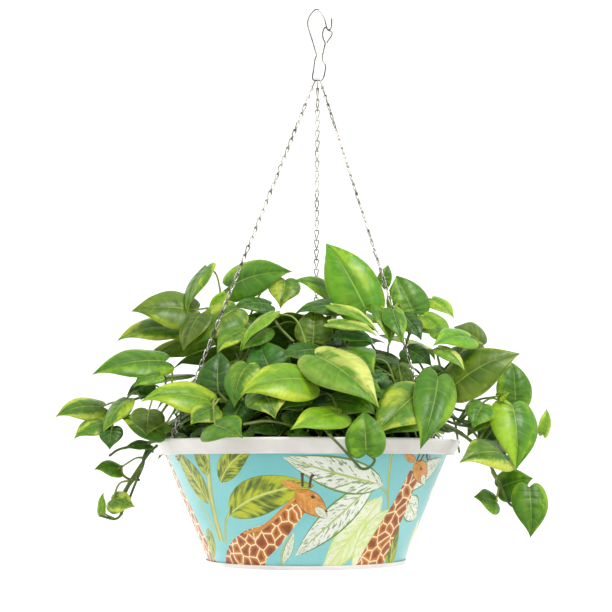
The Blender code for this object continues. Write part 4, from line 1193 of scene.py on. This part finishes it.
def box_of(points):
    return [min(p[i] for p in points) for i in range(3)], [max(p[i] for p in points) for i in range(3)]


def meets(shape, placed, owner):
    """True if the shape cuts one already placed that belongs to another owner."""
    low, high = box_of(shape[0])
    tree = None
    for other_owner, other_low, other_high, other_tree in placed:
        if other_owner == owner or any(low[i] > other_high[i] or high[i] < other_low[i] for i in range(3)):
            continue
        tree = tree or BVHTree.FromPolygons(*shape)
        if tree.overlap(other_tree):
            return True
    return False


def keep(shape, placed, owner):
    placed.append((owner, *box_of(shape[0]), BVHTree.FromPolygons(*shape)))


def settled_leaves(placed):
    """Each leaf moved back or forward, where it can be, until it clears everything placed before it."""
    settled = []
    for number, (vine, base, tip, width, face, tone, way) in enumerate(all_leaves()):
        for shift in SHIFTS:
            start, end = base + way * shift, tip + way * shift
            out = leaf_axes(start, end, face)[2]
            shape = closed_proxy(*leaf_sheet(start, end, width, face), out, LEAF_CLEARANCE)
            if not meets(shape, placed, None):
                keep(shape, placed, ("leaf", number))
                settled.append((number, vine, start, end, width, face, tone))
                break
    return settled


# ---- Plants: how they look ----

# Tones by name: the deep colour, the pale colour, and how much of the left and right halves is pale.
TONES = {
    "olive": ((82, 116, 18), (156, 176, 34), 0.12, 0.25),
    "edge": ((70, 124, 18), (176, 200, 52), 0.2, 0.38),
    "mid": ((74, 128, 18), (142, 186, 32), 0.2, 0.32),
    "streak": ((78, 130, 18), (192, 206, 66), 0.4, 0.34),
    "dark": ((44, 92, 14), (88, 140, 22), 0.15, 0.15),
    "brown": ((76, 106, 18), (146, 158, 42), 0.35, 0.25),
    "lime": ((122, 174, 22), (198, 216, 58), 0.4, 0.32),
    "patch": ((74, 128, 20), (206, 216, 88), 0.32, 0.52),
    "teal": ((50, 110, 36), (108, 164, 56), 0.2, 0.15),
    "cream": ((100, 156, 26), (220, 226, 122), 0.1, 0.62),
    "bright": ((92, 164, 20), (172, 208, 42), 0.35, 0.22),
    "half": ((76, 136, 18), (158, 200, 38), 0.8, 0.15),
}

# Half of a blade's outline, from the notch behind the stalk round the lobe to the tip, as (along, out),
# and where the vein to each of those places leaves the midrib.
BLADE_EDGE = [
    (0.0, 0.0), (-0.055, 0.14), (-0.092, 0.34), (-0.078, 0.56), (-0.02, 0.76), (0.08, 0.91), (0.21, 0.99),
    (0.35, 1.0), (0.49, 0.91), (0.62, 0.735), (0.73, 0.53), (0.82, 0.335), (0.90, 0.17), (0.96, 0.06),
    (1.0, 0.0),
]
BLADE_RIB = [0.0, 0.004, 0.012, 0.024, 0.05, 0.09, 0.15, 0.23, 0.33, 0.45, 0.58, 0.71, 0.83, 0.93, 1.0]
BLADE_ACROSS = 6  # parts from midrib to margin
BLADE_SHEET = 0.55  # how thick it is
BLADE_SPREAD = 1.18  # the widths in the list are as seen, with each blade a little turned away

LOOSE_STEM_R = 1.25
# Each leaf tries these places for its stalk's foot, as shares of the stem from where it would start.
STALK_SLIDES = (0, 0.06, -0.06, 0.12, -0.12, 0.2, -0.2, -0.3)
PALE_STEMS = ("vine_top", "vine_front_middle")  # vines whose loose stems are pale, by how their names start


def blade(build, base, tip, width, face, tone, seed):
    """A heart-shaped blade: grooved along its midrib, arched, drooping at the margins, thin and closed."""
    along, across, out = leaf_axes(base, tip, face)
    length = (tip - base).length
    width *= BLADE_SPREAD
    rng = random.Random(seed)
    wave, phase = rng.uniform(0.008, 0.02) * length, rng.uniform(0, 6.3)
    roll, hook_tip = rng.uniform(-0.05, 0.05), rng.uniform(0.0, 0.07) * length
    skew = rng.uniform(-0.045, 0.045)
    fold = rng.uniform(0.02, 0.075)
    *colours, left, right = TONES[tone]
    sway = rng.uniform(0.9, 1.08)
    deep, pale = ((*[c * sway for c in srgb(*colour)[:3]], 1.0) for colour in colours)
    left, right = left + rng.uniform(-0.06, 0.06), right + rng.uniform(-0.06, 0.06)
    edge = smooth_path([Vector(place) for place in BLADE_EDGE], 2)
    rib = smooth_path(BLADE_RIB, 2)
    rows, columns = len(rib), 2 * BLADE_ACROSS + 1
    top, marks = [], []
    for i, (start, rim) in enumerate(zip(rib, edge)):
        for k in range(columns):
            s = (k - BLADE_ACROSS) / BLADE_ACROSS
            t = start + (rim.x - start) * abs(s) ** 1.25
            side = max(rim.y, 0.0) * s
            arch = LEAF_ARCH * length * (1 - (2 * t - 1) ** 2) - hook_tip * max(0.0, (t - 0.7) / 0.3) ** 2
            groove = fold * width * (1 - exp(-5 * abs(side)))
            fall = 0.13 * width * side**2
            ripple = wave * sin(9.0 * t + phase + 1.3 * (s > 0)) * side**2
            rise = arch + groove - fall + ripple + roll * width * side * (1 - t)
            bow = skew * length * sin(pi * max(0.0, min(1.0, t)))
            top.append(base + along * t * length + across * (side * width / 2 + bow) + out * rise)
            marks.append((i / (rows - 1), s, seed * 3.7))
    count, last = len(top), columns - 1
    faces = [(a, d, c, b) for a, b, c, d in grid(rows, columns, closed=False)]
    under = [tuple(count + j for j in quad[::-1]) for quad in faces]
    rim = list(range(last)) + [i * columns + last for i in range(rows)]
    rim += [count - 2 - i for i in range(last)] + [i * columns for i in range(rows - 2, -1, -1)]
    sides = [(a, b, b + count, a + count) for a, b in zip(rim, rim[1:])]
    shares = [(left, right, 0.0)] * count + [(left, right, 1.0)] * count
    points = top + [point - out * BLADE_SHEET for point in top]
    faces += under + sides
    build.add(points, faces, blade=marks * 2, pale_share=shares, deep_tone=deep, pale_tone=pale)


def vine_stem(build, path):
    """A stem that tapers towards its tip, with a swollen joint every so often."""
    fine = smooth_path(path, 8)
    radii = []
    for i in range(len(fine)):
        joint = 0.3 * max(0.0, cos(2 * pi * i / 7)) ** 8
        radii.append((1.9 - 0.8 * i / (len(fine) - 1)) * (1 + joint))
    tube(build, fine, radii, 10, deep_tone=srgb(58, 88, 28), pale_tone=srgb(112, 132, 52))


def leaf_stalk(build, path, tint):
    """A leaf's stalk, widening into a sheath at the stem, and paler the closer its tint is to 1."""
    fine = smooth_path(path, 5)
    radii = [1.0 + 0.5 * max(0.0, 1 - i / 4) for i in range(len(fine))]
    green = srgb(62 + 62 * tint, 104 + 44 * tint, 24 + 24 * tint)
    pale = srgb(112 + 58 * tint, 148 + 34 * tint, 48 + 40 * tint)
    tube(build, fine, radii, 8, deep_tone=green, pale_tone=pale)


def frame_shape(obj):
    """(points in mm, faces) of a CAD node."""
    points = [vertex.co / MM for vertex in obj.data.vertices]
    return points, [tuple(face.vertices) for face in obj.data.polygons]


def make_vines(blade_look, stalk_look):
    stems = {vine: smooth_path(places, 1) for vine, places in all_stems().items()}
    placed = []
    for node, obj in sorted(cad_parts.items()):
        if node.startswith(("hook", "top_link", "clip", "chain", "rim")):
            keep(frame_shape(obj), placed, node)
    for vine, path in stems.items():
        keep(tube_proxy(path, STEM_R + STALK_CLEARANCE), placed, vine)
    leaves = settled_leaves(placed)
    for vine, path in stems.items():
        rng = random.Random(vine)
        blades, stalks = Build(), Build()
        vine_stem(stalks, path)
        deep, pale = (118, 140, 60), (168, 184, 104)
        if not vine.startswith(PALE_STEMS):
            deep, pale = (50, 84, 30), (96, 120, 44)
        for places in LOOSE_STEMS.get(vine, []):
            route = smooth_path([seen(*place) for place in places], 5)
            tube(stalks, route, LOOSE_STEM_R, 8, deep_tone=srgb(*deep), pale_tone=srgb(*pale))
        for number, owner, base, tip, width, face, tone in leaves:
            if owner != vine:
                continue
            blade(blades, base, tip, width, face, tone, number)
            others = [entry for entry in placed if entry[0] not in (vine, ("leaf", number))]
            foot = nearest_share(path, base) - STALK_SET_BACK
            for slide in STALK_SLIDES:
                stalk = stalk_path(path, base, tip, face, max(foot + slide, 0.1))
                if not meets(tube_proxy(stalk, STALK_R + STALK_CLEARANCE), others, vine):
                    break
            leaf_stalk(stalks, stalk, rng.random())
        blades.piece("blades_" + vine, [blade_look], "pothos_leaf", [vine])
        stalks.piece("stalks_" + vine, [stalk_look], "pothos_leaf", [vine])


# ---- Camera, lights and floor ----

EYE_PITCH = 7.2  # degrees above level
LENS = 75.35
FLOOR_Z = -2000.0  # the studio floor, how far it reaches, how it bends up at its edge, and how high it goes
FLOOR_REACH = 4200.0
FLOOR_BEND = 1300.0
FLOOR_TOP = 3400.0


def make_camera():
    data = bpy.data.cameras.new("camera")
    data.lens = LENS
    data.sensor_width = 36.0
    camera = put("camera", data)
    camera.location = Vector((PLANTER_X, -EYE_DISTANCE, EYE_Z)) * MM
    camera.rotation_euler = (radians(90 + EYE_PITCH), 0, 0)
    bpy.context.scene.camera = camera


def make_sun(name, strength, softness, bearing, height, tint):
    data = bpy.data.lights.new(name, "SUN")
    data.energy = strength
    data.angle = radians(softness)
    data.color = tint
    way = outward(bearing) * cos(radians(height)) + Vector((0, 0, sin(radians(height))))
    put(name, data).rotation_euler = way.to_track_quat("Z", "Y").to_euler()


def make_studio():
    """A pale floor that sweeps up into a wall all round, under even light with a soft key from the right."""
    world = bpy.data.worlds.new("studio")
    world.use_nodes = True
    sky = world.node_tree.nodes["Background"].inputs
    sky["Color"].default_value = (1.0, 1.0, 1.0, 1.0)
    sky["Strength"].default_value = 0.85
    bpy.context.scene.world = world
    make_sun("key", 2.55, 22, -52, 46, (1.0, 0.99, 0.97))
    make_sun("fill", 0.7, 40, -140, 30, (0.98, 0.99, 1.0))
    profile = [(0.0, FLOOR_Z)]
    for i in range(13):
        turn = pi / 2 * i / 12
        profile.append((FLOOR_REACH - FLOOR_BEND * (1 - sin(turn)), FLOOR_Z + FLOOR_BEND * (1 - cos(turn))))
    profile.append((FLOOR_REACH, FLOOR_TOP))
    points = []
    for i in range(COLUMNS):
        way = outward(360 * i / COLUMNS)
        points += [(way * r + Vector((0, 0, z))) * MM for r, z in profile]
    total = len(points)
    strips = grid(COLUMNS + 1, len(profile), closed=False)
    mesh = bpy.data.meshes.new("studio_floor")
    mesh.from_pydata(points, [], [(a, d % total, c % total, b) for a, b, c, d in strips])
    mesh.materials.append(studio_finish())
    mesh.shade_smooth()
    floor = put("studio_floor", mesh)


# Painted leaves, stems and hides of the print: deep and pale tones, the tones of the midrib and of the edge,
# how far out the edge starts, and how strongly flecks of its tone show.
PRINT_LEAVES = {
    "print_olive_leaf": ((74, 104, 14), (198, 208, 38), (214, 222, 120), (120, 140, 30), 0.93, 0.2),
    "print_pale_leaf": ((250, 252, 244), (240, 246, 226), (190, 206, 110), (112, 148, 40), 0.86, 0.8),
    "print_ghost_leaf": ((226, 240, 168), (248, 252, 226), (216, 232, 140), (206, 228, 110), 0.88, 0.6),
    "print_stem": ((176, 190, 84), (214, 220, 140), (206, 214, 130), (140, 160, 60), 0.75, 0.2),
    "print_dark_brown": ((66, 40, 22), (96, 60, 34), (80, 50, 28), (52, 32, 20), 0.9, 0.2),
    "print_fawn_hide": ((214, 132, 44), (240, 178, 84), (232, 160, 66), (150, 78, 30), 0.9, 0.25),
}


def main():
    bpy.context.scene.view_settings.view_transform = "Standard"
    make_camera()
    make_studio()
    # Each wire's first colour is its painted dark reflection, the second the metal's own bright colour.
    make_hook(wire_finish("bright_hook_wire", (84, 83, 77), (160, 158, 148)))
    chain_steel = wire_finish("bright_chain_wire", (116, 114, 104), (224, 221, 210))
    make_chains(chain_steel)
    make_clips(chain_steel)
    enamel = enamel_finish()
    make_bands(enamel)
    painted = [print_leaf_finish(name, *tones) for name, tones in PRINT_LEAVES.items()]
    make_tub([print_ground_finish(), *painted[:3], print_coat_finish(), *painted[3:], enamel])
    make_soil(soil_finish(), grain_finish())
    make_vines(blade_finish(), stalk_finish())


main()
